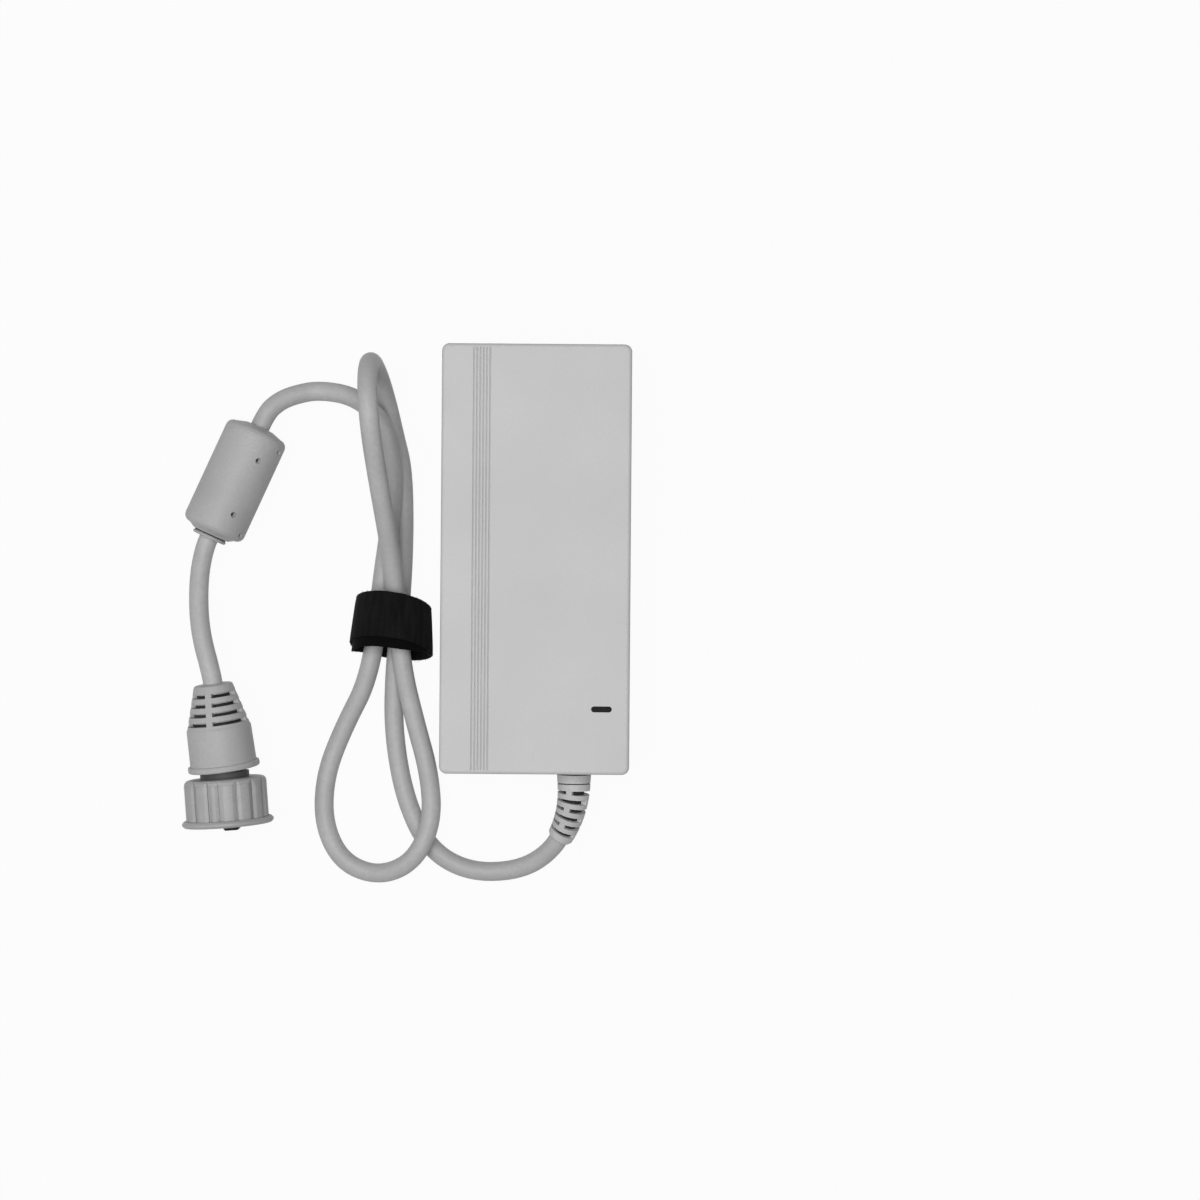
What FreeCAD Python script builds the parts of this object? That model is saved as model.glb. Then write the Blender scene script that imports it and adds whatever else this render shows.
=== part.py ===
import FreeCAD, Part
import math
import os
from FreeCAD import Placement, Rotation, Vector

# Desktop power converter: a closed plastic brick with its captive output lead, in millimetres.
# The origin is the middle of the underside, +Y runs along the brick to the mains end, +Z is up.

# General clearances
fit_clearance = 0.15
lead_clearance = 0.2
running_clearance = 0.1
film_gap = 0.02
least_radius = 0.3
cutter_reach = 1.5

# Brick case
case_width = 62.5
case_length = 141.5
case_height = 36.0
case_wall = 2.2
case_corner_radius = 2.5
case_edge_radius = 1.2
parting_height = 18.0
lap_height = 1.6
lap_clearance = 0.1

# Fine grooves along the lid
groove_count = 6
groove_pitch = 1.07
groove_width = 0.6
groove_depth = 0.35
groove_inset = 10.6
groove_end_margin = 1.3

# Case screws, driven from below
boss_radius = 4.2
boss_wall_overlap = 0.3
screw_shank_radius = 1.45
screw_head_radius = 2.7
screw_head_height = 2.2
screw_length = 16.0
screw_well_depth = 10.0
screw_recess_width = 0.8
screw_recess_depth = 1.2
screw_recess_span = 3.5
pilot_margin = 1.0
pilot_play = 0.05

# Circuit board and the posts that carry it
board_thickness = 1.6
board_standoff = 4.5
board_margin = 0.8
board_corner_radius = 1.0
post_radius = 2.5
post_pin_radius = 1.2
post_inset = 6.75
post_spacing = 38.0
boss_shelf = 1.2
lead_size = 0.7
lead_tail = 1.2

# Two-pin mains inlet
inlet_face_width = 21.0
inlet_face_height = 13.0
inlet_face_radius = 2.0
inlet_body_width = 23.0
inlet_body_rise = 7.6
inlet_body_depth = 15.0
inlet_recess_depth = 10.5
inlet_lobe_radius = 4.2
inlet_pin_spacing = 8.6
inlet_pin_radius = 1.2
inlet_pin_recess = 1.5
pin_nose = 0.45
inlet_waist_height = 5.6
inlet_tail_gap = 1.4

# Indicator window near the output end of the lid
window_length = 6.8
window_width = 1.95
window_inset_x = 9.25
window_inset_y = 21.55
window_sink = 0.3
pipe_flange_margin = 1.0
pipe_flange_thickness = 1.2
led_radius = 1.5
led_height = 9.0
led_gap = 0.4
led_pitch = 1.8

# Slotted strain relief of the output lead
relief_inset = 18.25
relief_root_radius = 5.8
relief_tip_radius = 4.4
relief_straight = 4.5
relief_bend_radius = 28.66
relief_heading = 29.5
relief_droop = 24.4
relief_neck_radius = 4.7
relief_flange_radius = 6.4
relief_flange_thickness = 2.0
relief_slot_width = 1.05
relief_slot_floor = 0.2
relief_slot_count = 6
relief_first_slot = 6.9
relief_slot_pitch = 2.72
relief_bridge_width = 2.0
relief_bridge_turn = 17.0
relief_collar_groove = 0.35
relief_collar_length = 4.1
relief_sections = 7
relief_tip_length = 0.8
relief_tip_taper = 0.5

# Output lead
lead_diameter = 6.5
corner_share = 0.45
lead_first_run = 7.0
bead_run_in = 5.0
bead_run_out = 4.0
boot_run_in = 3.0

# Ferrite bead moulded over the lead
bead_start = Vector(-94.31, 44.30, 10.85)
bead_end = Vector(-111.22, 6.62, 11.6)
bead_radius = 10.75
bead_edge_radius = 2.6
bead_dome_radius = 4.7
bead_dome_rise = 1.1
bead_collar_radius = 5.9
bead_collar_length = 1.5
bead_collar_groove = 0.4
bead_core_radius = 8.0
bead_core_length = 28.0
dimple_radius = 1.0
dimple_depth = 1.5
dimple_floor_radius = 0.6
dimple_side_angle = 68.0
dimple_top_angle = 32.0
dimple_side_offset = 15.4
dimple_top_offset = 9.9

# Hook-and-loop strap round the middle of the lead
strap_centre = Vector(-48.8, -22.2, 12.05)
strap_heading = 2.8
strap_skew = 4.4
strap_width = 15.2
strap_span = 27.2
strap_flare = 2.8
strap_height = 24.0
strap_lean = 8.0
strap_thickness = 1.6

# Plug at the end of the lead, sizes along its axis from its rear face
plug_rear = Vector(-108.5, -42.5, 17.4)
plug_heading = 7.4
plug_dip = 4.0
boot_rear_radius = 6.65
boot_rear_edge = 0.9
boot_shoulder_edge = 0.4
boot_shoulder_radius = 10.8
boot_shoulder = 14.5
boot_barrel_radius = 11.1
boot_collar_radius = 12.0
boot_collar_width = 2.1
boot_collar_edge = 0.6
boot_length = 28.9
boot_slot_count = 4
boot_slot_width = 1.4
boot_slot_pitch = 3.06
boot_first_slot = 3.4
boot_slot_depth = 2.0
boot_bridge_width = 2.1
boot_bridge_turn = 8.0
boot_core_radius = 6.0
boot_core_start = 20.0
boot_core_step = 0.9

# Coupling nut, on the neck that leaves the boot at a slightly different heading
nut_heading = 4.5
nut_dip = 0.0
nut_gap = 3.0
nut_wall = 2.5
nut_radius = 13.8
nut_shoulder = 1.8
nut_flange_radius = 15.3
nut_flange_thickness = 2.1
nut_flange_edge = 0.7
nut_length = 15.8
nut_bore_radius = 11.6
nut_rib_count = 14
nut_mark_span = 16.0
nut_mark_start = -1.1
nut_flute_width = 3.3
nut_flute_depth = 0.4
nut_groove_width = 0.55
nut_groove_depth = 0.95

# Plug body and contacts
neck_radius = 8.2
retainer_radius = 9.8
retainer_width = 2.0
nose_radius = 8.8
nose_reach = 8.8
insert_radius = 7.7
insert_recess = 4.4
insert_thickness = 3.8
tongue_size = 5.2
tongue_offset = 1.2
tongue_overhang = 1.9
tongue_edge = 0.8
tongue_chamfer = 0.5
contact_radius = 0.8
contact_length = 5.7
contact_side = 5.2
contact_rise = 2.9
seal_section = 0.9
seal_groove_width = 1.45
seal_width = 0.9
seal_squeeze = 0.08
seal_edge = 0.3
seal_shoulder = 1.0

# Parts on the board, with the room that they are sized for
layout_width = 56.5
layout_length = 119.15
layout_headroom = 1.5
layout_gap = 0.6
lead_pitch = 5.0
package_pitch = 2.54
fuse_radius = 2.6
fuse_length = 18.0
fuse_cap_radius = 2.8
fuse_cap_length = 4.5
fuse_clip_length = 4.0
fuse_clip_wall = 0.6
fuse_rise = 4.0
choke_core_outer = 9.0
choke_core_inner = 4.8
choke_core_height = 8.0
choke_wire = 1.2
choke_lead_x = 8.0
choke_lead_y = 4.0
choke_span = 120.0
filter_capacitor_size = Vector(11.5, 17.5, 15.0)
filter_capacitor_pitch = 15.0
bridge_size = Vector(20.0, 3.8, 12.0)
bridge_chamfer = 2.0
bulk_radius = 9.0
bulk_length = 28.0
bulk_pitch = 7.5
bulk_bead_place = 3.0
bulk_leg_run = 2.5
can_bead = 0.7
can_edge = 0.5
sink_thickness = 2.0
sink_height = 21.0
sink_foot_share = 0.4
primary_sink_length = 34.0
output_sink_length = 28.0
package_width = 10.0
package_depth = 4.5
package_height = 9.0
package_tab = 1.3
package_tab_height = 15.5
package_hole_radius = 1.8
package_hole_drop = 2.8
package_lift = 4.0
package_lead_share = 0.6
core_width = 30.0
core_depth = 11.0
core_height = 24.0
core_yoke = 4.5
core_leg = 8.0
core_side_leg = 4.5
bobbin_wall = 0.8
winding_margin = 0.5
winding_depth = 22.0
rail_width = 3.0
chip_size = Vector(6.4, 9.4, 3.4)
coupler_size = Vector(6.4, 4.6, 3.4)
chip_chamfer = 0.5
chip_lead_rise = 0.4
disc_radius = 4.2
disc_thickness = 3.2
disc_edge = 0.95
output_capacitor_radius = 5.0
output_capacitor_height = 20.0
output_capacitor_bead_place = 2.0
drum_radius = 6.2
drum_core_radius = 3.0
drum_height = 12.0
drum_flange = 1.5
drum_pitch = 7.0
wire_radius = 0.8
wire_spacing = 3.4
wire_bend = 3.0
wire_run = 7.0

# Places, as shares of the board's half width and of the parts' zone between its ends
fuse_place = (-0.717, 0.8455)
choke_place = (0.106, 0.8)
filter_capacitor_place = (0.694, 0.849)
bridge_place = (0.513, 0.587)
bulk_place = (-0.618, 0.4024)
primary_sink_place = (0.929, 0.3387)
transformer_place = (0.142, 0.0365)
chip_place = (-0.602, -0.1146)
coupler_place = (-0.602, -0.2824)
disc_places = [(0.513, -0.2992), (0.85, -0.2992)]
output_sink_place = (-0.929, -0.614)
output_capacitor_places = [(-0.3186, -0.467), (0.124, -0.467), (-0.3186, -0.6853)]
output_choke_place = (0.1416, -0.702)

# Values that follow from the sizes above
half_width = case_width / 2
half_length = case_length / 2
inner_half_width = half_width - case_wall
inner_half_length = half_length - case_wall
ceiling = case_height - case_wall
board_bottom = case_wall + board_standoff
board_top = board_bottom + board_thickness
board_width = case_width - 2 * case_wall - 2 * board_margin
board_length = case_length - 2 * case_wall - 2 * board_margin
screw_x = inner_half_width - boss_radius + boss_wall_overlap
screw_y = inner_half_length - boss_radius + boss_wall_overlap
post_x = half_width - post_inset
post_y = post_spacing / 2
window_x = half_width - window_inset_x
window_y = window_inset_y - half_length
relief_x = half_width - relief_inset
led_top = board_top + led_height
inlet_rear = inner_half_length - fit_clearance - inlet_body_depth
zone_back = inlet_rear - inlet_tail_gap - layout_gap
zone_front = -board_length / 2
room_height = ceiling - board_top
plan_scale = min(1.0, board_width / layout_width, (zone_back - zone_front) / layout_length)
lead_radius = lead_diameter / 2
nut_start = boot_length + nut_gap
nut_front = nut_start + nut_length
nose_front = nut_start + nose_reach
insert_start = nose_front - insert_recess
insert_face = insert_start + insert_thickness
tongue_reach = nut_front + tongue_overhang
lead_holes = []
wire_holes = []


def save(name, solids):
    """Write one sub-part, which may be a group of like solids."""
    shape = solids if hasattr(solids, "ShapeType") else Part.makeCompound(solids)
    shape.exportStep("parts/" + name + ".step")


def block(size_x, size_y, size_z, centre_x, centre_y, base):
    corner = Vector(centre_x - size_x / 2, centre_y - size_y / 2, base)
    return Part.makeBox(size_x, size_y, size_z, corner)


def rounded_block(size_x, size_y, size_z, radius, centre_x, centre_y, base):
    solid = block(size_x, size_y, size_z, centre_x, centre_y, base)
    upright = [e for e in solid.Edges if abs(e.tangentAt(e.FirstParameter).z) > 0.99]
    return solid.makeFillet(radius, upright)


def rod(radius, length, start, direction=Vector(0, 0, 1)):
    return Part.makeCylinder(radius, length, start, direction)


def turned(profile):
    """Solid of revolution about Z from (radius, height) corners."""
    points = [Vector(r, 0, z) for r, z in profile]
    face = Part.Face(Part.makePolygon(points + [points[0]]))
    return face.revolve(Vector(0, 0, 0), Vector(0, 0, 1), 360)


def eased_edge(radius, height, size, rising, steps=3):
    """Profile corners that round an outer edge in short straight steps."""
    corners = []
    for index in range(steps + 1):
        angle = math.pi / 2 * index / steps
        corners.append((radius - size + size * math.cos(angle), height + size * math.sin(angle)))
    if rising:
        return corners
    return [(r, 2 * height - z) for r, z in reversed(corners)]


def flat_edges(solid, height):
    """The edges of a solid that lie at one height."""
    return [e for e in solid.Edges if e.BoundBox.ZLength < 1e-6 and abs(e.BoundBox.ZMin - height) < 1e-6]


def board_lead(x, y, top):
    """Square lead down through its hole in the board."""
    bottom = board_bottom - lead_tail
    lead_holes.append((x, y))
    return block(lead_size, lead_size, top - bottom, x, y, bottom)


def mounted(solid, place, height, leads=(), lead_top=0.0):
    """A part drawn about its own foot, smaller where the room is too low for it, set on the board."""
    part = solid.copy()
    scale = min(plan_scale, (room_height - layout_headroom) / height)
    if scale < 1.0:
        part.scale(scale)
    x = place[0] * board_width / 2
    y = (zone_back + zone_front) / 2 + place[1] * (zone_back - zone_front) / 2
    part.translate(Vector(x, y, board_top))
    for lead_x, lead_y in leads:
        top = board_top + lead_top * scale
        part = part.fuse(board_lead(x + lead_x * scale, y + lead_y * scale, top))
    return part


def axis_placement(origin, direction):
    """Local Z along a direction, local Y as near upright as it can be."""
    forward = Vector(direction).normalize()
    side = forward.cross(Vector(0, 0, 1)).normalize() * -1
    upward = forward.cross(side)
    return Placement(origin, Rotation(side, upward, forward, "ZXY"))


def placed(shape, placement):
    copy = shape.copy()
    copy.Placement = placement.multiply(copy.Placement)
    return copy


def sector_ring(outer, inner, height, span, middle, base=0.0):
    """A stretch of a flat ring about Z, span degrees wide round a middle angle."""
    ring = Part.makeCylinder(outer, height, Vector(0, 0, base), Vector(0, 0, 1), span)
    ring = ring.cut(Part.makeCylinder(inner, height, Vector(0, 0, base)))
    ring.rotate(Vector(0, 0, 0), Vector(0, 0, 1), middle - span / 2)
    return ring


def slot_ring(outer, inner, width, bridge, turn, count):
    """Cutter for a ring of slots that bridges of one width keep apart."""
    cutter = rod(outer, width, Vector(0, 0, -width / 2)).cut(rod(inner, width, Vector(0, 0, -width / 2)))
    for index in range(count):
        bar = block(outer, bridge, width, outer / 2, 0, -width / 2)
        bar.rotate(Vector(0, 0, 0), Vector(0, 0, 1), turn + 360.0 * index / count)
        cutter = cutter.cut(bar)
    return cutter


# Case

def case_blank(low, high, closed_level):
    solid = rounded_block(case_width, case_length, high - low, case_corner_radius, 0, 0, low)
    return solid.makeFillet(case_edge_radius, flat_edges(solid, closed_level))


def cavity(low, high, extra=0.0):
    """The space inside the case walls, smaller by extra on every side."""
    radius = max(case_corner_radius - case_wall, least_radius)
    width = case_width - 2 * case_wall - 2 * extra
    length = case_length - 2 * case_wall - 2 * extra
    return rounded_block(width, length, high - low, radius, 0, 0, low)


def wall_plate(low, high, inset):
    radius = max(case_corner_radius - inset, least_radius)
    return rounded_block(case_width - 2 * inset, case_length - 2 * inset, high - low, radius, 0, 0, low)


def screw_places():
    return [(sx * screw_x, sy * screw_y) for sx in (-1, 1) for sy in (-1, 1)]


def post_places():
    return [(sx * post_x, sy * post_y) for sx in (-1, 1) for sy in (-1, 1)]


def inlet_opening():
    """The hole for the mains inlet, half in each shell."""
    width = inlet_face_width + 2 * fit_clearance
    height = inlet_face_height + 2 * fit_clearance
    depth = case_wall * 3
    opening = block(width, depth, height, 0, half_length - case_wall / 2, parting_height - height / 2)
    along = [e for e in opening.Edges if abs(e.tangentAt(e.FirstParameter).y) > 0.99]
    return opening.makeFillet(inlet_face_radius + fit_clearance, along)


def relief_opening():
    """The round hole for the neck of the strain relief, half in each shell."""
    start = Vector(relief_x, -half_length - case_wall, parting_height)
    return rod(relief_neck_radius + fit_clearance, case_wall * 3, start, Vector(0, 1, 0))


def lower_case():
    shell = case_blank(0, parting_height, 0).cut(cavity(case_wall, parting_height))
    for x, y in screw_places():
        shell = shell.fuse(rod(boss_radius, parting_height - case_wall, Vector(x, y, case_wall)))
        shelf = rod(boss_radius + boss_shelf, board_standoff, Vector(x, y, case_wall))
        shell = shell.fuse(shelf.common(cavity(0, parting_height)))
    for x, y in post_places():
        shell = shell.fuse(rod(post_radius, board_standoff, Vector(x, y, case_wall)))
        shell = shell.fuse(rod(post_pin_radius, board_thickness, Vector(x, y, board_bottom)))
    tongue = wall_plate(parting_height, parting_height + lap_height, case_wall / 2 + lap_clearance)
    shell = shell.fuse(tongue.cut(cavity(parting_height, parting_height + lap_height)))
    for x, y in screw_places():
        shell = shell.cut(rod(screw_head_radius + 2 * fit_clearance, screw_well_depth, Vector(x, y, 0)))
        shell = shell.cut(rod(screw_shank_radius + fit_clearance, parting_height, Vector(x, y, 0)))
    shell = shell.cut(inlet_opening())
    return shell.cut(relief_opening()).removeSplitter()


def long_groove(x):
    """V-shaped cutter along the lid, open upwards."""
    half_run = half_length - groove_end_margin
    points = [Vector(x - groove_width, -half_run, case_height + groove_depth),
              Vector(x + groove_width, -half_run, case_height + groove_depth),
              Vector(x, -half_run, case_height - groove_depth)]
    face = Part.Face(Part.makePolygon(points + [points[0]]))
    return face.extrude(Vector(0, 2 * half_run, 0))


def window_shape(margin, low, high):
    """Round-ended bar for the indicator window and the pipe in it."""
    length = window_length + 2 * margin
    width = window_width + 2 * margin
    straight = length - width
    bar = block(straight, width, high - low, window_x, window_y, low)
    for side in (-1, 1):
        bar = bar.fuse(rod(width / 2, high - low, Vector(window_x + side * straight / 2, window_y, low)))
    return bar.removeSplitter()


def upper_case():
    shell = case_blank(parting_height, case_height, case_height).cut(cavity(parting_height, ceiling))
    for x, y in screw_places():
        shell = shell.fuse(rod(boss_radius, ceiling - parting_height, Vector(x, y, parting_height)))
    lap_top = parting_height + lap_height + lap_clearance
    lap_space = wall_plate(parting_height, lap_top, case_wall / 2)
    shell = shell.cut(lap_space.cut(cavity(parting_height, lap_top, lap_clearance)))
    for x, y in screw_places():
        pilot = screw_length - parting_height + screw_well_depth + pilot_margin
        shell = shell.cut(rod(screw_shank_radius + pilot_play, pilot, Vector(x, y, parting_height)))
    for index in range(groove_count):
        shell = shell.cut(long_groove(groove_inset - half_width + index * groove_pitch))
    shell = shell.cut(window_shape(0, ceiling - case_wall, case_height + case_wall))
    shell = shell.cut(inlet_opening())
    return shell.cut(relief_opening()).removeSplitter()


def case_screw(x, y):
    head_base = screw_well_depth - screw_head_height
    screw = rod(screw_head_radius, screw_head_height, Vector(x, y, head_base))
    screw = screw.fuse(rod(screw_shank_radius, screw_length, Vector(x, y, screw_well_depth)))
    for size_x, size_y in ((screw_recess_width, screw_recess_span), (screw_recess_span, screw_recess_width)):
        screw = screw.cut(block(size_x, size_y, screw_recess_depth, x, y, head_base))
    return screw


# Mains inlet

def inlet_pin(side):
    """One contact pin with its tail bent down to the board."""
    x = side * inlet_pin_spacing / 2
    rear = inlet_rear - inlet_tail_gap
    front = half_length - inlet_pin_recess
    nose = pin_nose
    pin = turned([(0, 0), (inlet_pin_radius, 0), (inlet_pin_radius, front - rear - nose),
                  (inlet_pin_radius - nose, front - rear), (0, front - rear)])
    pin.Placement = Placement(Vector(x, rear, parting_height), Rotation(Vector(1, 0, 0), -90))
    return pin.fuse(board_lead(x, rear + lead_size, parting_height))


def mains_inlet():
    front = half_length
    block_front = inner_half_length - fit_clearance
    top = parting_height + inlet_body_rise
    body = block(inlet_body_width, inlet_body_depth, top - board_top, 0,
                 block_front - inlet_body_depth / 2, board_top)
    face = block(inlet_face_width, front - block_front, inlet_face_height, 0, (front + block_front) / 2,
                 parting_height - inlet_face_height / 2)
    along = [e for e in face.Edges if abs(e.tangentAt(e.FirstParameter).y) > 0.99]
    body = body.fuse(face.makeFillet(inlet_face_radius, along))
    bottom = front - inlet_recess_depth
    recess = block(inlet_pin_spacing, inlet_recess_depth, inlet_waist_height, 0,
                   front - inlet_recess_depth / 2,
                   parting_height - inlet_waist_height / 2)
    for side in (-1, 1):
        lobe = Vector(side * inlet_pin_spacing / 2, bottom, parting_height)
        recess = recess.fuse(rod(inlet_lobe_radius, inlet_recess_depth, lobe, Vector(0, 1, 0)))
    body = body.cut(recess)
    for side in (-1, 1):
        start = Vector(side * inlet_pin_spacing / 2, block_front - inlet_body_depth, parting_height)
        body = body.cut(rod(inlet_pin_radius, inlet_body_depth, start, Vector(0, 1, 0)))
    return body


# Indicator

def light_pipe():
    top = case_height - window_sink
    pipe = window_shape(-fit_clearance, led_top + led_gap, top)
    flange_top = ceiling - fit_clearance / 3
    flange = window_shape(pipe_flange_margin, flange_top - pipe_flange_thickness, flange_top)
    return pipe.fuse(flange)


def indicator_led():
    lamp = rod(led_radius, led_height - led_radius, Vector(window_x, window_y, board_top))
    lamp = lamp.fuse(Part.makeSphere(led_radius, Vector(window_x, window_y, led_top - led_radius)))
    for side in (-1, 1):
        lamp = lamp.fuse(board_lead(window_x + side * led_pitch / 2, window_y, board_top + led_radius))
    return lamp


# Strain relief

def relief_aim():
    heading = math.radians(relief_heading)
    droop = math.radians(relief_droop)
    return Vector(-math.sin(heading) * math.cos(droop), -math.cos(heading) * math.cos(droop),
                  -math.sin(droop))


def relief_turn():
    return math.acos(-relief_aim().y)


def relief_length():
    """Length of the curved body, without the eased tip."""
    return relief_straight + relief_bend_radius * relief_turn()


def relief_station(distance):
    """Point and direction of the strain relief's axis, a distance out from the case."""
    start = Vector(relief_x, -half_length, parting_height)
    forward = Vector(0, -1, 0)
    if distance <= relief_straight:
        return start + forward * distance, forward
    sideways = Vector(relief_aim().x, 0, relief_aim().z).normalize()
    angle = (distance - relief_straight) / relief_bend_radius
    centre = start + forward * relief_straight + sideways * relief_bend_radius
    point = centre - sideways * (relief_bend_radius * math.cos(angle)) + forward * (relief_bend_radius * math.sin(angle))
    return point, forward * math.cos(angle) + sideways * math.sin(angle)


def relief_radius(distance):
    share = distance / relief_length()
    return relief_root_radius + (relief_tip_radius - relief_root_radius) * share


def relief_slot(row):
    """Wedge between two rings square to the axis, so it gapes on the outside of the bend."""
    distance = relief_first_slot + row * relief_slot_pitch
    point, forward = relief_station(distance)
    outer = relief_radius(distance)
    turn = relief_bridge_turn + (90.0 if row % 2 == 0 else 0.0)
    floor = lead_radius + relief_slot_floor
    cutter = slot_ring(outer * cutter_reach, floor, 3 * relief_slot_width, relief_bridge_width, turn, 2)
    cutter = placed(cutter, axis_placement(point, forward))
    for side in (-1, 1):
        face = relief_station(distance + side * relief_slot_width / 2)[0]
        square = relief_station(distance + side * relief_slot_pitch / 2)[1]
        ring = rod(4 * outer, relief_slot_pitch, face, square * side)
        cutter = cutter.cut(ring)
    return cutter


def strain_relief():
    """Tapered sleeve that follows its bend, with rows of slots turned a quarter from row to row."""
    start = Vector(relief_x, -half_length, parting_height)
    straight_end = relief_station(relief_straight)[0]
    wires = []
    for index in range(relief_sections):
        distance = relief_straight + (relief_length() - relief_straight) * index / (relief_sections - 1)
        point, forward = relief_station(distance)
        circle = Part.Circle(point, forward, relief_radius(distance))
        wires.append(Part.Wire(circle.toShape()))
    body = Part.makeLoft(wires, True, False)
    root = Part.makeCone(relief_root_radius, relief_radius(relief_straight), relief_straight, start,
                         Vector(0, -1, 0))
    body = body.fuse(root)
    tip_point, tip_forward = relief_station(relief_length())
    tip_radius = relief_radius(relief_length())
    body = body.fuse(Part.makeCone(tip_radius, tip_radius - relief_tip_taper, relief_tip_length,
                                   tip_point, tip_forward))
    for row in range(relief_slot_count):
        body = body.cut(relief_slot(row))
    point, forward = relief_station(relief_collar_length)
    seam = slot_ring(relief_root_radius * cutter_reach,
                     relief_radius(relief_collar_length) - relief_collar_groove,
                     relief_collar_groove, 0.01, 0, 0)
    body = body.cut(placed(seam, axis_placement(point, forward)))
    body = body.fuse(rod(relief_neck_radius, case_wall + fit_clearance, start, Vector(0, 1, 0)))
    inner = Vector(relief_x, -inner_half_length + fit_clearance, parting_height)
    return body.fuse(rod(relief_flange_radius, relief_flange_thickness, inner, Vector(0, 1, 0)))


# Cord

def corner_arcs(points):
    """Straight runs joined by tangent arcs, each as large as its two runs allow."""
    edges = []
    radii = []
    last = points[0]
    for index in range(1, len(points) - 1):
        corner = points[index]
        before = corner - points[index - 1]
        after = points[index + 1] - corner
        turn = before.getAngle(after)
        cut = corner_share * min(before.Length, after.Length)
        radii.append(cut / math.tan(turn / 2))
        before.normalize()
        after.normalize()
        arc_start = corner - before * cut
        arc_end = corner + after * cut
        inward = (after - before).normalize()
        middle = corner + inward * (radii[-1] / math.cos(turn / 2) - radii[-1])
        edges.append(Part.LineSegment(last, arc_start).toShape())
        edges.append(Part.Arc(arc_start, middle, arc_end).toShape())
        last = arc_end
    edges.append(Part.LineSegment(last, points[-1]).toShape())
    return Part.Wire(edges), radii


def tube(points, radius, label):
    path, radii = corner_arcs(points)
    profile = Part.Wire(Part.Circle(points[0], points[1] - points[0], radius).toShape())
    sweep = Part.BRepOffsetAPI.MakePipeShell(path)
    sweep.setFrenetMode(False)
    sweep.add(profile)
    sweep.build()
    sweep.makeSolid()
    solid = sweep.shape()
    expected = math.pi * radius ** 2 * path.Length
    print(label,
          "length %.1f, volume is %.4f of section times length" % (path.Length, solid.Volume / expected))
    print("   radii", " ".join("%.1f" % r for r in radii))
    return solid


def bead_axis():
    return (bead_end - bead_start).normalize()


def plug_axis():
    heading = math.radians(plug_heading)
    dip = math.radians(plug_dip)
    return Vector(math.sin(heading) * math.cos(dip), -math.cos(heading) * math.cos(dip), -math.sin(dip))


def lead_route():
    """The lead from its strain relief through the strap three times and on to the ferrite bead."""
    end_point, exit_aim = relief_station(relief_length())
    exit_point = end_point + exit_aim * relief_tip_length
    route = [exit_point, exit_point + exit_aim * lead_first_run]
    route += [Vector(-6.0, -105.9, 4.6), Vector(-23.0, -106.6, 3.3), Vector(-36.6, -98.8, 3.3),
              Vector(-44.6, -82.5, 3.3), Vector(-48.6, -62.0, 3.4), Vector(-48.9, -43.0, 5.7),
              Vector(-46.2, -10.0, 5.2), Vector(-45.7, 12.0, 3.5), Vector(-46.4, 31.0, 3.3)]
    route += [Vector(-49.2, 42.0, 3.4), Vector(-51.6, 52.3, 3.6), Vector(-54.2, 62.6, 11.0),
              Vector(-55.7, 66.4, 23.2), Vector(-55.7, 62.4, 35.5), Vector(-55.0, 52.2, 42.6)]
    route += [Vector(-53.8, 39.0, 40.6), Vector(-51.8, 23.0, 31.4), Vector(-49.5, 6.0, 21.0),
              Vector(-48.0, -8.0, 14.2), Vector(-45.6, -36.0, 12.6), Vector(-41.4, -54.0, 9.6)]
    route += [Vector(-36.0, -73.0, 9.4), Vector(-34.9, -89.0, 10.9), Vector(-41.0, -102.4, 10.9),
              Vector(-53.4, -108.2, 4.8), Vector(-66.2, -103.6, 3.3), Vector(-72.7, -90.5, 3.3),
              Vector(-72.2, -74.0, 3.3), Vector(-66.2, -58.0, 3.7), Vector(-56.5, -39.5, 7.3)]
    route += [Vector(-52.9, -8.0, 8.7), Vector(-50.0, 12.0, 10.2), Vector(-48.7, 30.0, 10.8),
              Vector(-52.0, 46.0, 12.0), Vector(-61.7, 55.0, 9.8), Vector(-75.0, 57.6, 6.2),
              Vector(-84.3, 55.2, 8.6), Vector(-89.1, 52.4, 9.9)]
    return route + [bead_start - bead_axis() * bead_run_in, bead_start]


def tail_route():
    """The short stretch of lead from the ferrite bead up into the rear of the plug."""
    route = [bead_end, bead_end + bead_axis() * bead_run_out]
    route += [Vector(-114.4, -8.5, 13.2), Vector(-113.2, -24.5, 17.0)]
    return route + [plug_rear - plug_axis() * boot_run_in, plug_rear]


# Ferrite bead

def bead_length():
    return (bead_end - bead_start).Length


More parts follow.
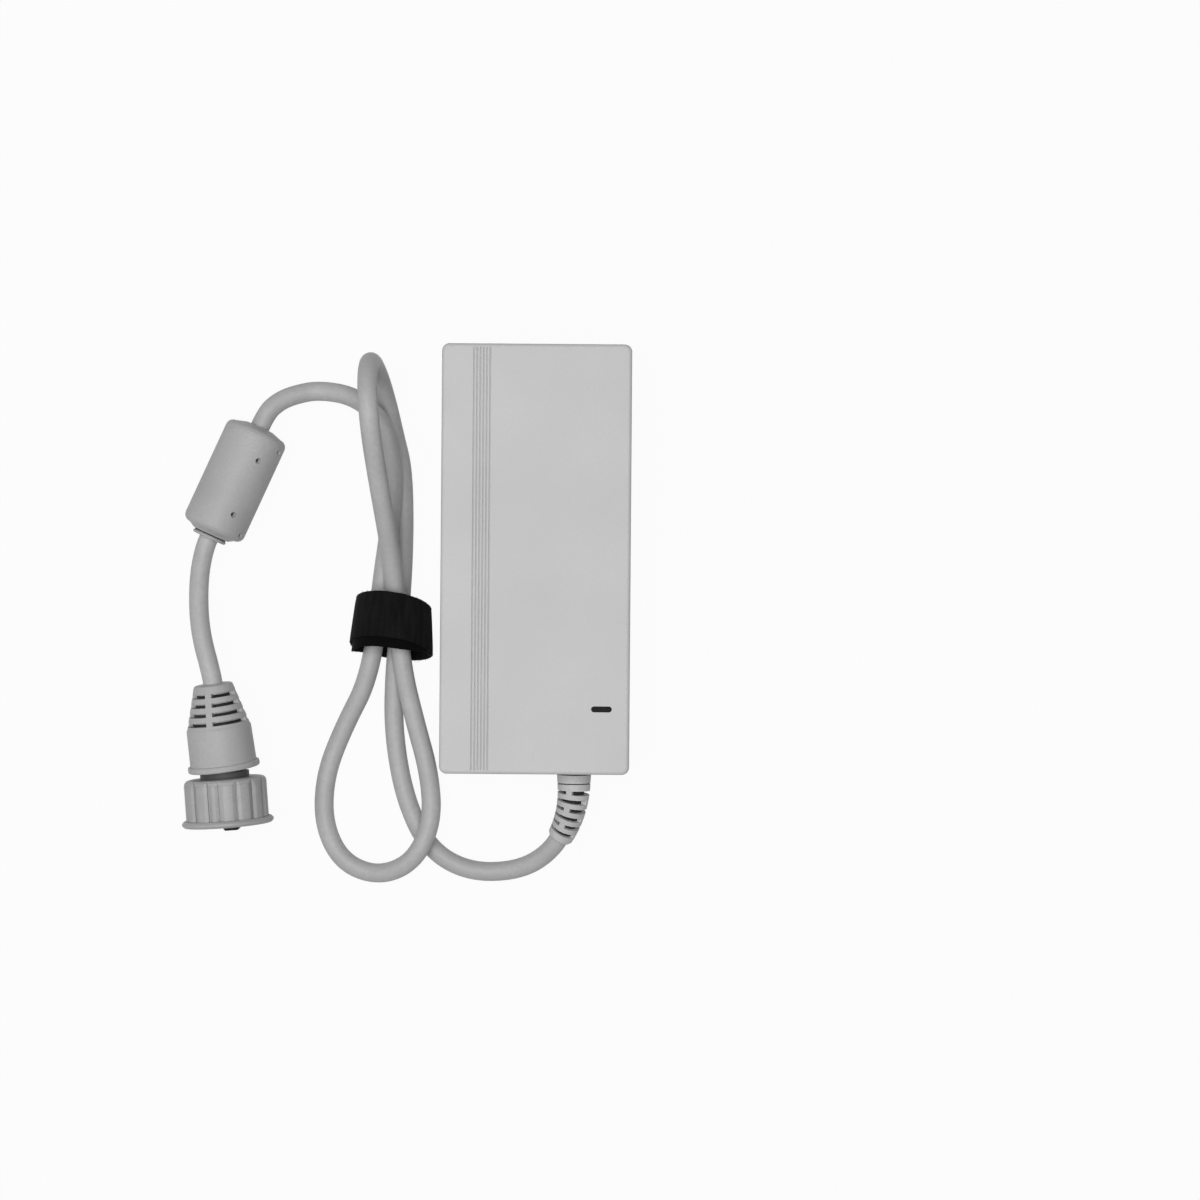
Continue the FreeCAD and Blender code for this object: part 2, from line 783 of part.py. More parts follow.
def bead_cover():
    """Moulded sleeve over the ferrite: domed ends, a collar on the plug's side, and dimples."""
    ease = bead_dome_rise + bead_edge_radius
    high = bead_length() - bead_collar_length
    neck = bead_collar_radius - bead_collar_groove
    profile = [(0, 0), (bead_dome_radius, 0)]
    profile += eased_edge(bead_radius, ease, bead_edge_radius, False, 4)
    profile += eased_edge(bead_radius, high - ease, bead_edge_radius, True, 4)
    profile += [(bead_collar_radius + bead_collar_groove, high), (neck, high),
                (neck, high + bead_collar_groove),
                (bead_collar_radius, high + 2 * bead_collar_groove), (bead_collar_radius,
                                                                      bead_length() - bead_collar_groove),
                (neck, bead_length()), (0, bead_length())]
    body = turned(profile)
    core_low = (bead_length() - bead_core_length) / 2
    body = body.cut(rod(bead_core_radius, bead_core_length, Vector(0, 0, core_low)))
    body = body.cut(rod(lead_radius + fit_clearance, bead_length(), Vector(0, 0, 0)))
    middle = bead_length() / 2
    for side in (-1, 1):
        body = body.cut(dimple(middle + side * dimple_side_offset, dimple_side_angle))
        body = body.cut(dimple(middle + side * dimple_top_offset, dimple_top_angle))
    return placed(body, axis_placement(bead_start, bead_axis()))


def dimple(height, angle):
    """Conical cutter that points at the bead's axis, turned from the top towards local +X."""
    depth = dimple_depth * 2
    mouth = 2 * dimple_radius - dimple_floor_radius
    foot = Vector(0, bead_radius - dimple_depth, height)
    cutter = Part.makeCone(dimple_floor_radius, mouth, depth, foot, Vector(0, 1, 0))
    cutter.rotate(Vector(0, 0, 0), Vector(0, 0, 1), -angle)
    return cutter


def bead_core():
    core_low = (bead_length() - bead_core_length) / 2
    core = rod(bead_core_radius - running_clearance, bead_core_length, Vector(0, 0, core_low))
    core = core.cut(rod(lead_radius + fit_clearance + running_clearance, bead_length(), Vector(0, 0, 0)))
    return placed(core, axis_placement(bead_start, bead_axis()))


def lead_in_bead():
    return rod(lead_radius, bead_length(), bead_start, bead_axis())


# Strap

def ellipse_wire(half_x, half_y):
    """Closed curve that starts on +X, whichever half is the longer."""
    stretch = FreeCAD.Matrix()
    stretch.scale(half_x, half_y, 1)
    return Part.Wire(Part.Circle().toShape().transformGeometry(stretch).Edges)


def strap_rim(share, inset):
    """Outline across the strap, leaning back, from one edge (-0.5) to the other (0.5)."""
    heading = math.radians(strap_heading)
    rim_heading = math.radians(strap_heading + strap_skew)
    along = Vector(-math.sin(heading), -math.cos(heading), 0)
    across = Vector(math.cos(rim_heading), -math.sin(rim_heading), 0)
    rise = along * -strap_lean + Vector(0, 0, strap_height)
    slant = rise.Length / strap_height
    normal = across.cross(rise).normalize()
    half_span = (strap_span + share * strap_flare) / 2 - inset
    curve = ellipse_wire(half_span, rise.Length / 2 - inset * slant)
    return placed(curve,
                  Placement(strap_centre + along * (share * strap_width),
                            Rotation(across, normal.cross(across), normal, "ZXY")))


def lead_strap():
    """Closed loop of soft strap that flares a little towards the loops of the lead."""
    outer = Part.makeLoft([strap_rim(share, 0) for share in (-0.5, 0.5)], True, True)
    return outer.cut(Part.makeLoft([strap_rim(share, strap_thickness) for share in (-0.5, 0.5)], True, True))


# Plug

def in_boot(shape):
    return placed(shape, axis_placement(plug_rear, plug_axis()))


def nut_axis():
    heading = math.radians(nut_heading)
    dip = math.radians(nut_dip)
    return Vector(math.sin(heading) * math.cos(dip), -math.cos(heading) * math.cos(dip), -math.sin(dip))


def in_nut(shape):
    """Placed along the neck, whose line meets the boot's at the boot's front face."""
    boot_front = plug_rear + plug_axis() * boot_length
    return placed(shape, axis_placement(boot_front - nut_axis() * boot_length, nut_axis()))


def plug_boot():
    """Moulded rear shell: slotted cone, barrel and collar."""
    collar = boot_length - boot_collar_width
    profile = [(0, 0)] + eased_edge(boot_rear_radius, boot_rear_edge, boot_rear_edge, False)
    profile += [(boot_shoulder_radius - boot_shoulder_edge, boot_shoulder - boot_shoulder_edge),
                (boot_shoulder_radius, boot_shoulder + boot_shoulder_edge), (boot_barrel_radius, collar)]
    profile += eased_edge(boot_collar_radius, collar + boot_collar_edge, boot_collar_edge, False)[1:]
    profile += eased_edge(boot_collar_radius, boot_length - boot_collar_edge, boot_collar_edge, True)
    shell = turned(profile + [(0, boot_length)])
    slope = (boot_shoulder_radius - boot_rear_radius) / boot_shoulder
    for row in range(boot_slot_count):
        height = boot_first_slot + row * boot_slot_pitch
        outer = boot_rear_radius + slope * height
        cutter = slot_ring(outer * cutter_reach, outer - boot_slot_depth, boot_slot_width, boot_bridge_width,
                           90 + boot_bridge_turn, 4)
        cutter.translate(Vector(0, 0, height))
        shell = shell.cut(cutter)
    bore = rod(boot_core_radius, boot_length, Vector(0, 0, boot_core_start))
    return in_boot(shell).cut(in_nut(bore))


def retainer_start():
    return nut_start + nut_wall + 2 * running_clearance


def seal_start():
    return retainer_start() + retainer_width + seal_shoulder


def plug_body():
    """Rigid neck that the nut turns on, with the shoulder that keeps the nut and a hollow nose."""
    shoulder = retainer_start() + retainer_width
    seal_end = seal_start() + seal_groove_width
    profile = [(0, boot_core_start), (boot_core_radius, boot_core_start),
               (boot_core_radius, boot_length + boot_core_step),
               (neck_radius, boot_length + boot_core_step), (neck_radius,
                                                             retainer_start()), (retainer_radius,
                                                                                 retainer_start()),
               (retainer_radius, shoulder), (nose_radius, shoulder), (nose_radius, seal_start()),
               (nose_radius - seal_section, seal_start()), (nose_radius - seal_section, seal_end),
               (nose_radius, seal_end), (nose_radius, nose_front), (insert_radius + running_clearance,
                                                                    nose_front),
               (insert_radius + running_clearance, insert_start), (0, insert_start)]
    return in_nut(turned(profile))


def seal_ring():
    inner = nose_radius - seal_section + film_gap
    low = seal_start() + (seal_groove_width - seal_width) / 2
    high = low + seal_width
    crown = nose_radius + seal_squeeze
    profile = [(inner, low), (crown - seal_edge, low), (crown, low + seal_edge), (crown, high - seal_edge),
               (crown - seal_edge, high), (inner, high)]
    return in_nut(turned(profile))


def contact_places():
    return [(sx * contact_side, sy * contact_rise) for sx in (-1, 1) for sy in (-1, 1)]


def plug_insert():
    """Black contact carrier with the keyed tongue that stands out of the nut."""
    body = rod(insert_radius, insert_thickness, Vector(0, 0, insert_start))
    length = tongue_reach - insert_start
    tongue = rounded_block(tongue_size, tongue_size, length, tongue_edge, tongue_offset, 0, insert_start)
    tongue = tongue.makeChamfer(tongue_chamfer, flat_edges(tongue, tongue_reach))
    body = body.fuse(tongue)
    keyway = block(tongue_size * 0.3, 1.0, tongue_reach - insert_face, tongue_offset, tongue_size / 2,
                   insert_face)
    body = body.cut(keyway)
    for x, y in contact_places():
        body = body.cut(rod(contact_radius, insert_thickness, Vector(x, y, insert_start)))
    return in_nut(body)


def contact_pin(x, y):
    tip = insert_face + contact_length
    nose = pin_nose
    pin = turned([(0, insert_start), (contact_radius, insert_start), (contact_radius, tip - nose),
                  (contact_radius - nose, tip), (0, tip)])
    pin.translate(Vector(x, y, 0))
    return in_nut(pin)


def coupling_nut():
    """Hand nut with a rounded shoulder, a front flange and even ribs beside one narrow marking rib."""
    flange_start = nut_front - nut_flange_thickness
    edge = nut_flange_edge
    profile = [(0, nut_start)]
    profile += eased_edge(nut_radius, nut_start + nut_shoulder, nut_shoulder, False)
    profile += [(nut_radius, flange_start), (nut_flange_radius - edge, flange_start),
                (nut_flange_radius, flange_start + edge),
                (nut_flange_radius, nut_front - edge), (nut_flange_radius - edge, nut_front), (0, nut_front)]
    shell = turned(profile)
    pitch = (360.0 - nut_mark_span) / nut_rib_count
    for index in range(nut_rib_count + 1):
        shell = shell.cut(rib_groove(flange_start, 90 - nut_mark_start - index * pitch))
    shell = shell.cut(rod(nut_bore_radius, nut_front, Vector(0, 0, nut_start + nut_wall)))
    return in_nut(shell.cut(rod(neck_radius + running_clearance, nut_front, Vector(0, 0, 0))))


def rib_groove(flange_start, angle):
    """Cutter for the narrow groove between two ribs and the slopes that lead down to it."""
    floor = nut_radius - nut_groove_depth
    brink = nut_radius - nut_flute_depth
    reach = nut_radius + nut_flute_depth
    half = nut_groove_width / 2
    spread = half + 2 * (nut_flute_width / 2 - half)
    corners = [(floor, -half), (floor, half), (brink, half), (reach, spread), (reach, -spread),
               (brink, -half)]
    points = [Vector(x, y, nut_start) for x, y in corners]
    groove = Part.Face(Part.makePolygon(points + [points[0]])).extrude(Vector(0, 0, flange_start - nut_start))
    groove.rotate(Vector(0, 0, 0), Vector(0, 0, 1), angle)
    return groove


# Parts on the board

def along_y(radius, length, start, height):
    return rod(radius, length, Vector(0, start, height), Vector(0, 1, 0))


def fuse():
    body = along_y(fuse_radius, fuse_length, -fuse_length / 2, fuse_rise)
    for start in (-fuse_length / 2, fuse_length / 2 - fuse_cap_length):
        body = body.fuse(along_y(fuse_cap_radius, fuse_cap_length, start, fuse_rise))
    return mounted(body, fuse_place, fuse_rise + fuse_cap_radius)


def fuse_clip(side):
    middle = side * (fuse_length - fuse_cap_length) / 2
    clip = block(2 * (fuse_cap_radius + fuse_clip_wall), fuse_clip_length,
                 fuse_rise + fuse_cap_radius / 2, 0, middle, 0)
    clip = clip.cut(along_y(fuse_cap_radius + film_gap, fuse_length, -fuse_length / 2, fuse_rise))
    return mounted(clip, fuse_place, fuse_rise + fuse_cap_radius, [(0, middle)])


def filter_choke_core():
    core = rod(choke_core_outer, choke_core_height, Vector(0, 0, choke_wire))
    core = core.cut(rod(choke_core_inner, choke_core_height, Vector(0, 0, choke_wire)))
    return mounted(core, choke_place, choke_core_height + 2 * choke_wire)


def filter_choke_winding(side):
    """One half of the windings, wrapped round the core without touching it."""
    gap = film_gap
    middle = 0 if side > 0 else 180
    coil = sector_ring(choke_core_outer + choke_wire, choke_core_inner - choke_wire,
                       choke_core_height + 2 * choke_wire, choke_span, middle)
    hollow = rod(choke_core_outer + gap, choke_core_height + 2 * gap, Vector(0, 0, choke_wire - gap))
    hollow = hollow.cut(rod(choke_core_inner - gap, choke_core_height + 2 * gap,
                            Vector(0, 0, choke_wire - gap)))
    leads = [(side * choke_lead_x, -choke_lead_y), (side * choke_lead_x, choke_lead_y)]
    return mounted(coil.cut(hollow), choke_place, choke_core_height + 2 * choke_wire, leads)


def filter_capacitor():
    size = filter_capacitor_size
    body = block(size.x, size.y, size.z, 0, 0, 0)
    body = body.makeChamfer(chip_chamfer, flat_edges(body, size.z))
    return mounted(body, filter_capacitor_place, size.z,
                   [(0, side * filter_capacitor_pitch / 2) for side in (-1, 1)])


def bridge_rectifier():
    size = bridge_size
    body = block(size.x, size.y, size.z, 0, 0, 0)
    corner = [e for e in flat_edges(body, size.z) if e.BoundBox.XMax < 0]
    body = body.makeChamfer(bridge_chamfer, corner)
    leads = [(lead_pitch * step, 0) for step in (-1.5, -0.5, 0.5, 1.5)]
    return mounted(body, bridge_place, size.z, leads)


def can_profile(radius, length, neck):
    """Aluminium can with a rolled bead a little way from its sealed end."""
    return [(0, 0), (radius - can_edge, 0), (radius, can_edge), (radius, neck - can_bead),
            (radius - can_bead, neck),
            (radius, neck + can_bead), (radius, length - can_edge), (radius - can_edge, length), (0, length)]


def bulk_capacitor():
    """Lying can with its legs bent down beyond the sealed end."""
    can = turned(can_profile(bulk_radius, bulk_length, bulk_bead_place))
    can.Placement = Placement(Vector(0, bulk_length / 2, bulk_radius + layout_gap),
                              Rotation(Vector(1, 0, 0), 90))
    end = bulk_length / 2
    height = bulk_radius + layout_gap
    for side in (-1, 1):
        leg = block(lead_size, bulk_leg_run, lead_size, side * bulk_pitch / 2, end + bulk_leg_run / 2,
                    height - lead_size / 2)
        can = can.fuse(leg)
    leads = [(side * bulk_pitch / 2, end + bulk_leg_run - lead_size / 2) for side in (-1, 1)]
    return mounted(can, bulk_place, height + bulk_radius, leads, height)


def heat_sink(place, length):
    """Upright plate with two feet through the board."""
    plate = block(sink_thickness, length, sink_height, 0, 0, 0)
    return mounted(plate, place, sink_height, [(0, -sink_foot_share * length), (0, sink_foot_share * length)])


def power_package(place):
    """Upright three-lead package with its tab flat on the heat sink of the same place."""
    side = -1 if place[0] > 0 else 1
    face = side * sink_thickness / 2
    tab = block(package_tab, package_width, package_tab_height, face + side * package_tab / 2, 0,
                package_lift)
    body = block(package_depth, package_width, package_height, face + side * package_depth / 2, 0,
                 package_lift)
    hole = Vector(0, 0, package_lift + package_tab_height - package_hole_drop)
    drilled = tab.cut(rod(package_hole_radius, 4 * package_tab, hole, Vector(side, 0, 0)))
    leads = [(face + side * package_lead_share * package_depth, step * package_pitch) for step in (-1, 0, 1)]
    return mounted(drilled.fuse(body), place, sink_height, leads, package_lift)


def core_window():
    return (core_width - core_leg - 2 * core_side_leg) / 2


def transformer_core():
    core = block(core_width, core_depth, core_height, 0, 0, 0)
    for side in (-1, 1):
        middle = side * (core_leg + core_window()) / 2
        core = core.cut(block(core_window(), core_depth, core_height - 2 * core_yoke, middle, 0, core_yoke))
    return mounted(core, transformer_place, core_height)


def transformer_bobbin():
    """Sleeve on the middle leg, two end flanges and two pin rails on the board."""
    high = core_height - core_yoke
    sleeve_x = core_leg + 2 * (lead_clearance + bobbin_wall)
    sleeve_y = core_depth + 2 * (lead_clearance + bobbin_wall)
    flange_x = core_leg + 2 * core_window() - 2 * lead_clearance
    body = block(sleeve_x, sleeve_y, high - core_yoke, 0, 0, core_yoke)
    for level in (core_yoke, high - bobbin_wall):
        body = body.fuse(block(flange_x, winding_depth, bobbin_wall, 0, 0, level))
    leads = []
    for side in (-1, 1):
        rail_y = side * (winding_depth - rail_width) / 2
        body = body.fuse(block(flange_x, rail_width, core_yoke + bobbin_wall, 0, rail_y, 0))
        leads += [(step * lead_pitch, rail_y) for step in (-1.5, -0.5, 0.5, 1.5)]
    opening = block(core_leg + 2 * lead_clearance, core_depth + 2 * lead_clearance, high - core_yoke, 0,
                    0, core_yoke)
    return mounted(body.cut(opening), transformer_place, core_height, leads)


def transformer_winding():
    low = core_yoke + bobbin_wall
    high = core_height - core_yoke - bobbin_wall
    size_x = core_leg + 2 * core_window() - 2 * winding_margin
    size_y = winding_depth - 2 * winding_margin
    coil = rounded_block(size_x, size_y, high - low, rail_width, 0, 0, low)
    sleeve_x = core_leg + 2 * (lead_clearance + bobbin_wall)
    sleeve_y = core_depth + 2 * (lead_clearance + bobbin_wall)
    return mounted(coil.cut(block(sleeve_x, sleeve_y, high - low, 0, 0, low)), transformer_place, core_height)


def dual_row_chip(size, place, per_side):
    body = block(size.x, size.y, size.z, 0, 0, 0)
    body = body.makeChamfer(chip_chamfer, flat_edges(body, size.z))
    leads = []
    for side in (-1, 1):
        for index in range(per_side):
            leads.append((side * (size.x - lead_size) / 2, (index - (per_side - 1) / 2) * package_pitch))
    return mounted(body, place, size.z, leads, size.z * chip_lead_rise)


def disc_capacitor(place):
    edge = disc_edge
    disc = turned([(0, 0), (disc_radius - edge, 0), (disc_radius, edge), (disc_radius, disc_thickness - edge),
                   (disc_radius - edge, disc_thickness), (0, disc_thickness)])
    disc.Placement = Placement(Vector(0, -disc_thickness / 2, disc_radius), Rotation(Vector(1, 0, 0), -90))
    return mounted(disc, place, 2 * disc_radius, [(side * lead_pitch / 2, 0) for side in (-1, 1)],
                   disc_radius * 0.5)


def output_capacitor(place):
    can = turned(can_profile(output_capacitor_radius, output_capacitor_height, output_capacitor_bead_place))
    return mounted(can, place, output_capacitor_height, [(side * lead_pitch / 2, 0) for side in (-1, 1)])


def output_choke_core():
    """Drum core that stands on one of its flanges."""
    top = drum_height - drum_flange
    profile = [(0, 0), (drum_radius, 0), (drum_radius, drum_flange), (drum_core_radius, drum_flange),
               (drum_core_radius, top), (drum_radius, top), (drum_radius, drum_height), (0, drum_height)]
    return mounted(turned(profile), output_choke_place, drum_height,
                   [(side * drum_pitch / 2, 0) for side in (-1, 1)])


def output_choke_winding():
    length = drum_height - 2 * drum_flange
    coil = rod(drum_radius - can_edge, length, Vector(0, 0, drum_flange))
    return mounted(coil.cut(rod(drum_core_radius, length, Vector(0, 0, drum_flange))), output_choke_place,
                   drum_height)


def output_wire(offset):
    """Insulated core from the inner end of the strain relief, bent down into the board."""
    x = relief_x + offset
    start = -inner_half_length + fit_clearance + relief_flange_thickness
    turn_y = start + wire_run
    bottom = board_bottom - lead_tail
    centre = Vector(x, turn_y - wire_bend, parting_height - wire_bend)
    middle = centre + Vector(0, wire_bend * math.sin(math.pi / 4), wire_bend * math.cos(math.pi / 4))
    edges = [Part.LineSegment(Vector(x, start, parting_height),
                              Vector(x, turn_y - wire_bend, parting_height)).toShape(),
             Part.Arc(Vector(x, turn_y - wire_bend, parting_height), middle,
                      Vector(x, turn_y, parting_height - wire_bend)).toShape(),
             Part.LineSegment(Vector(x, turn_y, parting_height - wire_bend),
                              Vector(x, turn_y, bottom)).toShape()]
    profile = Part.Wire(Part.Circle(Vector(x, start, parting_height), Vector(0, 1, 0), wire_radius).toShape())
    wire_holes.append((x, turn_y))
    return Part.Wire(edges).makePipeShell([profile], True, False)


def circuit_board():
    board = rounded_block(board_width, board_length, board_thickness, board_corner_radius, 0, 0, board_bottom)
    for x, y in screw_places():
        board = board.cut(rod(boss_radius + lead_clearance, board_thickness, Vector(x, y, board_bottom)))
    for x, y in post_places():
        board = board.cut(rod(post_pin_radius + fit_clearance, board_thickness, Vector(x, y, board_bottom)))
    hole = lead_size + 2 * fit_clearance
    for x, y in lead_holes:
        board = board.cut(block(hole, hole, board_thickness, x, y, board_bottom))
    for x, y in wire_holes:
        board = board.cut(rod(wire_radius + fit_clearance, board_thickness, Vector(x, y, board_bottom)))
    return board


def build():
    save("lower_case", lower_case())
    save("upper_case", upper_case())
    save("case_screws", [case_screw(x, y) for x, y in screw_places()])
    save("mains_inlet", mains_inlet())
    save("inlet_pins", [inlet_pin(side) for side in (-1, 1)])
    save("light_pipe", light_pipe())
    save("indicator_led", indicator_led())
    save("fuse", fuse())
    save("fuse_clips", [fuse_clip(side) for side in (-1, 1)])
    save("filter_choke_core", filter_choke_core())
    save("filter_choke_windings", [filter_choke_winding(side) for side in (-1, 1)])
    save("filter_capacitor", filter_capacitor())
    save("bridge_rectifier", bridge_rectifier())
    save("bulk_capacitor", bulk_capacitor())
    save("primary_heat_sink", heat_sink(primary_sink_place, primary_sink_length))
    save("power_transistor", power_package(primary_sink_place))
    save("transformer_core", transformer_core())
    save("transformer_bobbin", transformer_bobbin())
    save("transformer_winding", transformer_winding())
    save("controller_chip", dual_row_chip(chip_size, chip_place, 4))
    save("feedback_coupler", dual_row_chip(coupler_size, coupler_place, 2))
    save("disc_capacitors", [disc_capacitor(place) for place in disc_places])
    save("output_heat_sink", heat_sink(output_sink_place, output_sink_length))
    save("output_rectifier", power_package(output_sink_place))
    save("output_capacitors", [output_capacitor(place) for place in output_capacitor_places])
    save("output_choke_core", output_choke_core())
    save("output_choke_winding", output_choke_winding())
    save("output_wires", [output_wire(side * wire_spacing / 2) for side in (-1, 1)])
    save("circuit_board", circuit_board())
    save("strain_relief", strain_relief())
    save("output_lead", tube(lead_route(), lead_radius, "output lead"))
    save("output_lead_in_bead", lead_in_bead())
    save("output_lead_tail", tube(tail_route(), lead_radius, "output lead tail"))
    save("ferrite_core", bead_core())
    save("ferrite_cover", bead_cover())
    save("lead_strap", lead_strap())
    save("plug_boot", plug_boot())
    save("plug_body", plug_body())
    save("seal_ring", seal_ring())
    save("plug_insert", plug_insert())
    save("plug_contacts", [contact_pin(x, y) for x, y in contact_places()])
    save("coupling_nut", coupling_nut())


build()
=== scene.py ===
import math
import bmesh
import bpy
from mathutils import Matrix, Vector, noise


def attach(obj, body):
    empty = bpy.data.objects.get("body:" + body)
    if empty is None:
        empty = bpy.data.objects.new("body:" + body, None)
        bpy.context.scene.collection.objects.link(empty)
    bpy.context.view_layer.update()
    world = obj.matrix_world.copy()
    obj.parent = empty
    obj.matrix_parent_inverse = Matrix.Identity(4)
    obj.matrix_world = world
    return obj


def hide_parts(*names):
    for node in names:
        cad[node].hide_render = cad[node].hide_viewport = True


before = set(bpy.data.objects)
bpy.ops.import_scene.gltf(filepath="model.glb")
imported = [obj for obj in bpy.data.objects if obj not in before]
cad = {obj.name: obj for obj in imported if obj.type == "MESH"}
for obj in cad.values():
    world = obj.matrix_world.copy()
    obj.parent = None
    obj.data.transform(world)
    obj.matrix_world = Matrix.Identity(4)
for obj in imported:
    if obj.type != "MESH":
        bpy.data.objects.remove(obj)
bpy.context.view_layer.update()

mm = 0.001


def toLinear(hexCode):
    # sRGB hex to the linear colour that the sockets take
    parts = [int(hexCode[i:i + 2], 16) / 255 for i in (1, 3, 5)]
    linear = [p / 12.92 if p <= 0.04045 else ((p + 0.055) / 1.055) ** 2.4 for p in parts]
    return (*linear, 1.0)


def addNode(tree, kind, values=None, **settings):
    # one node with its settings; a value that is a socket is linked
    node = tree.nodes.new(kind)
    for key, value in settings.items():
        setattr(node, key, value)
    for key, value in (values or {}).items():
        if isinstance(value, bpy.types.NodeSocket):
            tree.links.new(value, node.inputs[key])
        else:
            node.inputs[key].default_value = value
    return node


def linkIn(thing):
    bpy.context.scene.collection.objects.link(thing)
    return thing


# camera, straight above the laid-out object
view = {
    "overX": 21.26 * mm, "overY": -13.29 * mm, "height": 826 * mm, "rollDeg": 0.44,
    "sensorWidth": 36, "focalShare": 2.00650, "clipStart": 0.05,
}


def placeCamera():
    data = bpy.data.cameras.new("overheadCamera")
    data.sensor_fit = "HORIZONTAL"
    data.sensor_width = view["sensorWidth"]
    data.lens = view["sensorWidth"] * view["focalShare"]  # focal length as a share of the square image's width
    data.clip_start = view["clipStart"]
    camera = linkIn(bpy.data.objects.new("overheadCamera", data))
    camera.location = (view["overX"], view["overY"], view["height"])
    camera.rotation_euler = (0, 0, math.radians(view["rollDeg"]))
    bpy.context.scene.camera = camera


placeCamera()
print("camera placed")


# the lead: strain relief, first loop, back through the strap, standing turn, second loop, ferrite bead
lead = {
    "diameter": 6.5 * mm,
    "mainLength": 0.654,
    "tailLength": 0.0506,
    "alongSteps": 14,
    "aroundSteps": 7,
    "mainRouteMm": [
        (8.270, -93.359, 13.643), (5.131, -98.907, 10.751), (-6.0, -105.9, 4.6), (-23.0, -106.6, 3.3),
        (-36.6, -98.8, 3.3), (-44.6, -82.5, 3.3), (-48.6, -62.0, 3.4), (-48.9, -43.0, 5.7),
        (-46.2, -10.0, 5.2), (-45.7, 12.0, 3.5), (-46.4, 31.0, 3.3), (-49.2, 42.0, 3.4),
        (-51.6, 52.3, 3.6), (-54.2, 62.6, 11.0), (-55.7, 66.4, 23.2), (-55.7, 62.4, 35.5),
        (-55.0, 52.2, 42.6), (-53.8, 39.0, 40.6), (-51.8, 23.0, 31.4), (-49.5, 6.0, 21.0),
        (-48.0, -8.0, 14.2), (-45.6, -36.0, 12.6), (-41.4, -54.0, 9.6), (-36.0, -73.0, 9.4),
        (-34.9, -89.0, 10.9), (-41.0, -102.4, 10.9), (-53.4, -108.2, 4.8), (-66.2, -103.6, 3.3),
        (-72.7, -90.5, 3.3), (-72.2, -74.0, 3.3), (-66.2, -58.0, 3.7), (-56.5, -39.5, 7.3),
        (-52.9, -8.0, 8.7), (-50.0, 12.0, 10.2), (-48.7, 30.0, 10.8), (-52.0, 46.0, 12.0),
        (-61.7, 55.0, 9.8), (-75.0, 57.6, 6.2), (-84.3, 55.2, 8.6), (-89.1, 52.4, 9.9),
        (-92.263, 48.861, 10.759), (-94.31, 44.30, 10.85)],
    "tailRouteMm": [
        (-111.22, 6.62, 11.6), (-112.857, 2.971, 11.673), (-114.4, -8.5, 13.2), (-113.2, -24.5, 17.0),
        (-108.885, -39.532, 17.609), (-108.5, -42.5, 17.4)],
}


def layLead(name, routeMm):
    curve = bpy.data.curves.new(name, "CURVE")
    curve.dimensions = "3D"
    spline = curve.splines.new("NURBS")
    spline.points.add(len(routeMm) - 1)
    for point, place in zip(spline.points, routeMm):
        point.co = (*(v * mm for v in place), 1.0)
    spline.order_u = 3
    spline.use_endpoint_u = True
    spline.resolution_u = lead["alongSteps"]
    curve.bevel_depth = lead["diameter"] / 2
    curve.bevel_resolution = lead["aroundSteps"]
    curve.use_fill_caps = True
    return linkIn(bpy.data.objects.new(name, curve))


mainLead = layLead("outputLead", lead["mainRouteMm"])
tailLead = layLead("outputLeadTail", lead["tailRouteMm"])
print("lead laid in its loops")


# materials
def newMaterial(name):
    material = bpy.data.materials.new(name)
    material.use_nodes = True
    tree = material.node_tree
    tree.nodes.clear()
    surface = addNode(tree, "ShaderNodeBsdfPrincipled")
    addNode(tree, "ShaderNodeOutputMaterial", {"Surface": surface.outputs[0]})
    return material, tree, surface


def setSockets(surface, values):
    for key, value in values.items():
        surface.inputs[key].default_value = value


def mouldedPlastic(name, look):
    # injection moulded: two close tones in soft clouds, and the grain that the mould's surface leaves
    material, tree, surface = newMaterial(name)
    place = addNode(tree, "ShaderNodeTexCoord").outputs["Object"]
    clouds = addNode(tree, "ShaderNodeTexNoise", {"Vector": place, "Scale": 1000 / look["cloudMm"], "Detail": 2.0})
    grain = addNode(tree, "ShaderNodeTexNoise",
                    {"Vector": place, "Scale": 1000 / look["grainMm"], "Detail": 3.0, "Roughness": 0.6})
    both = addNode(tree, "ShaderNodeMath", {0: clouds.outputs["Fac"], 1: grain.outputs["Fac"]}, operation="MULTIPLY")
    spread = addNode(tree, "ShaderNodeMapRange", {"Value": both.outputs[0], "From Min": 0.12, "From Max": 0.42})
    tone = addNode(tree, "ShaderNodeMix",
                   {0: spread.outputs[0], 6: toLinear(look["dark"]), 7: toLinear(look["light"])}, data_type="RGBA")
    rough = addNode(tree, "ShaderNodeMapRange",
                    {"Value": grain.outputs["Fac"], "From Min": 0.3, "From Max": 0.7,
                     "To Min": look["roughness"] - look["roughSpread"],
                     "To Max": look["roughness"] + look["roughSpread"]})
    bump = addNode(tree, "ShaderNodeBump",
                   {"Height": grain.outputs["Fac"], "Distance": look["grainDepthMm"] * mm, "Strength": 1.0})
    tree.links.new(tone.outputs[2], surface.inputs["Base Color"])
    tree.links.new(rough.outputs[0], surface.inputs["Roughness"])
    tree.links.new(bump.outputs[0], surface.inputs["Normal"])
    setSockets(surface, {"IOR": look.get("ior", 1.5), "Specular IOR Level": look.get("specular", 0.5),
                         "Coat Weight": look.get("coat", 0.0), "Coat Roughness": 0.2})
    return material


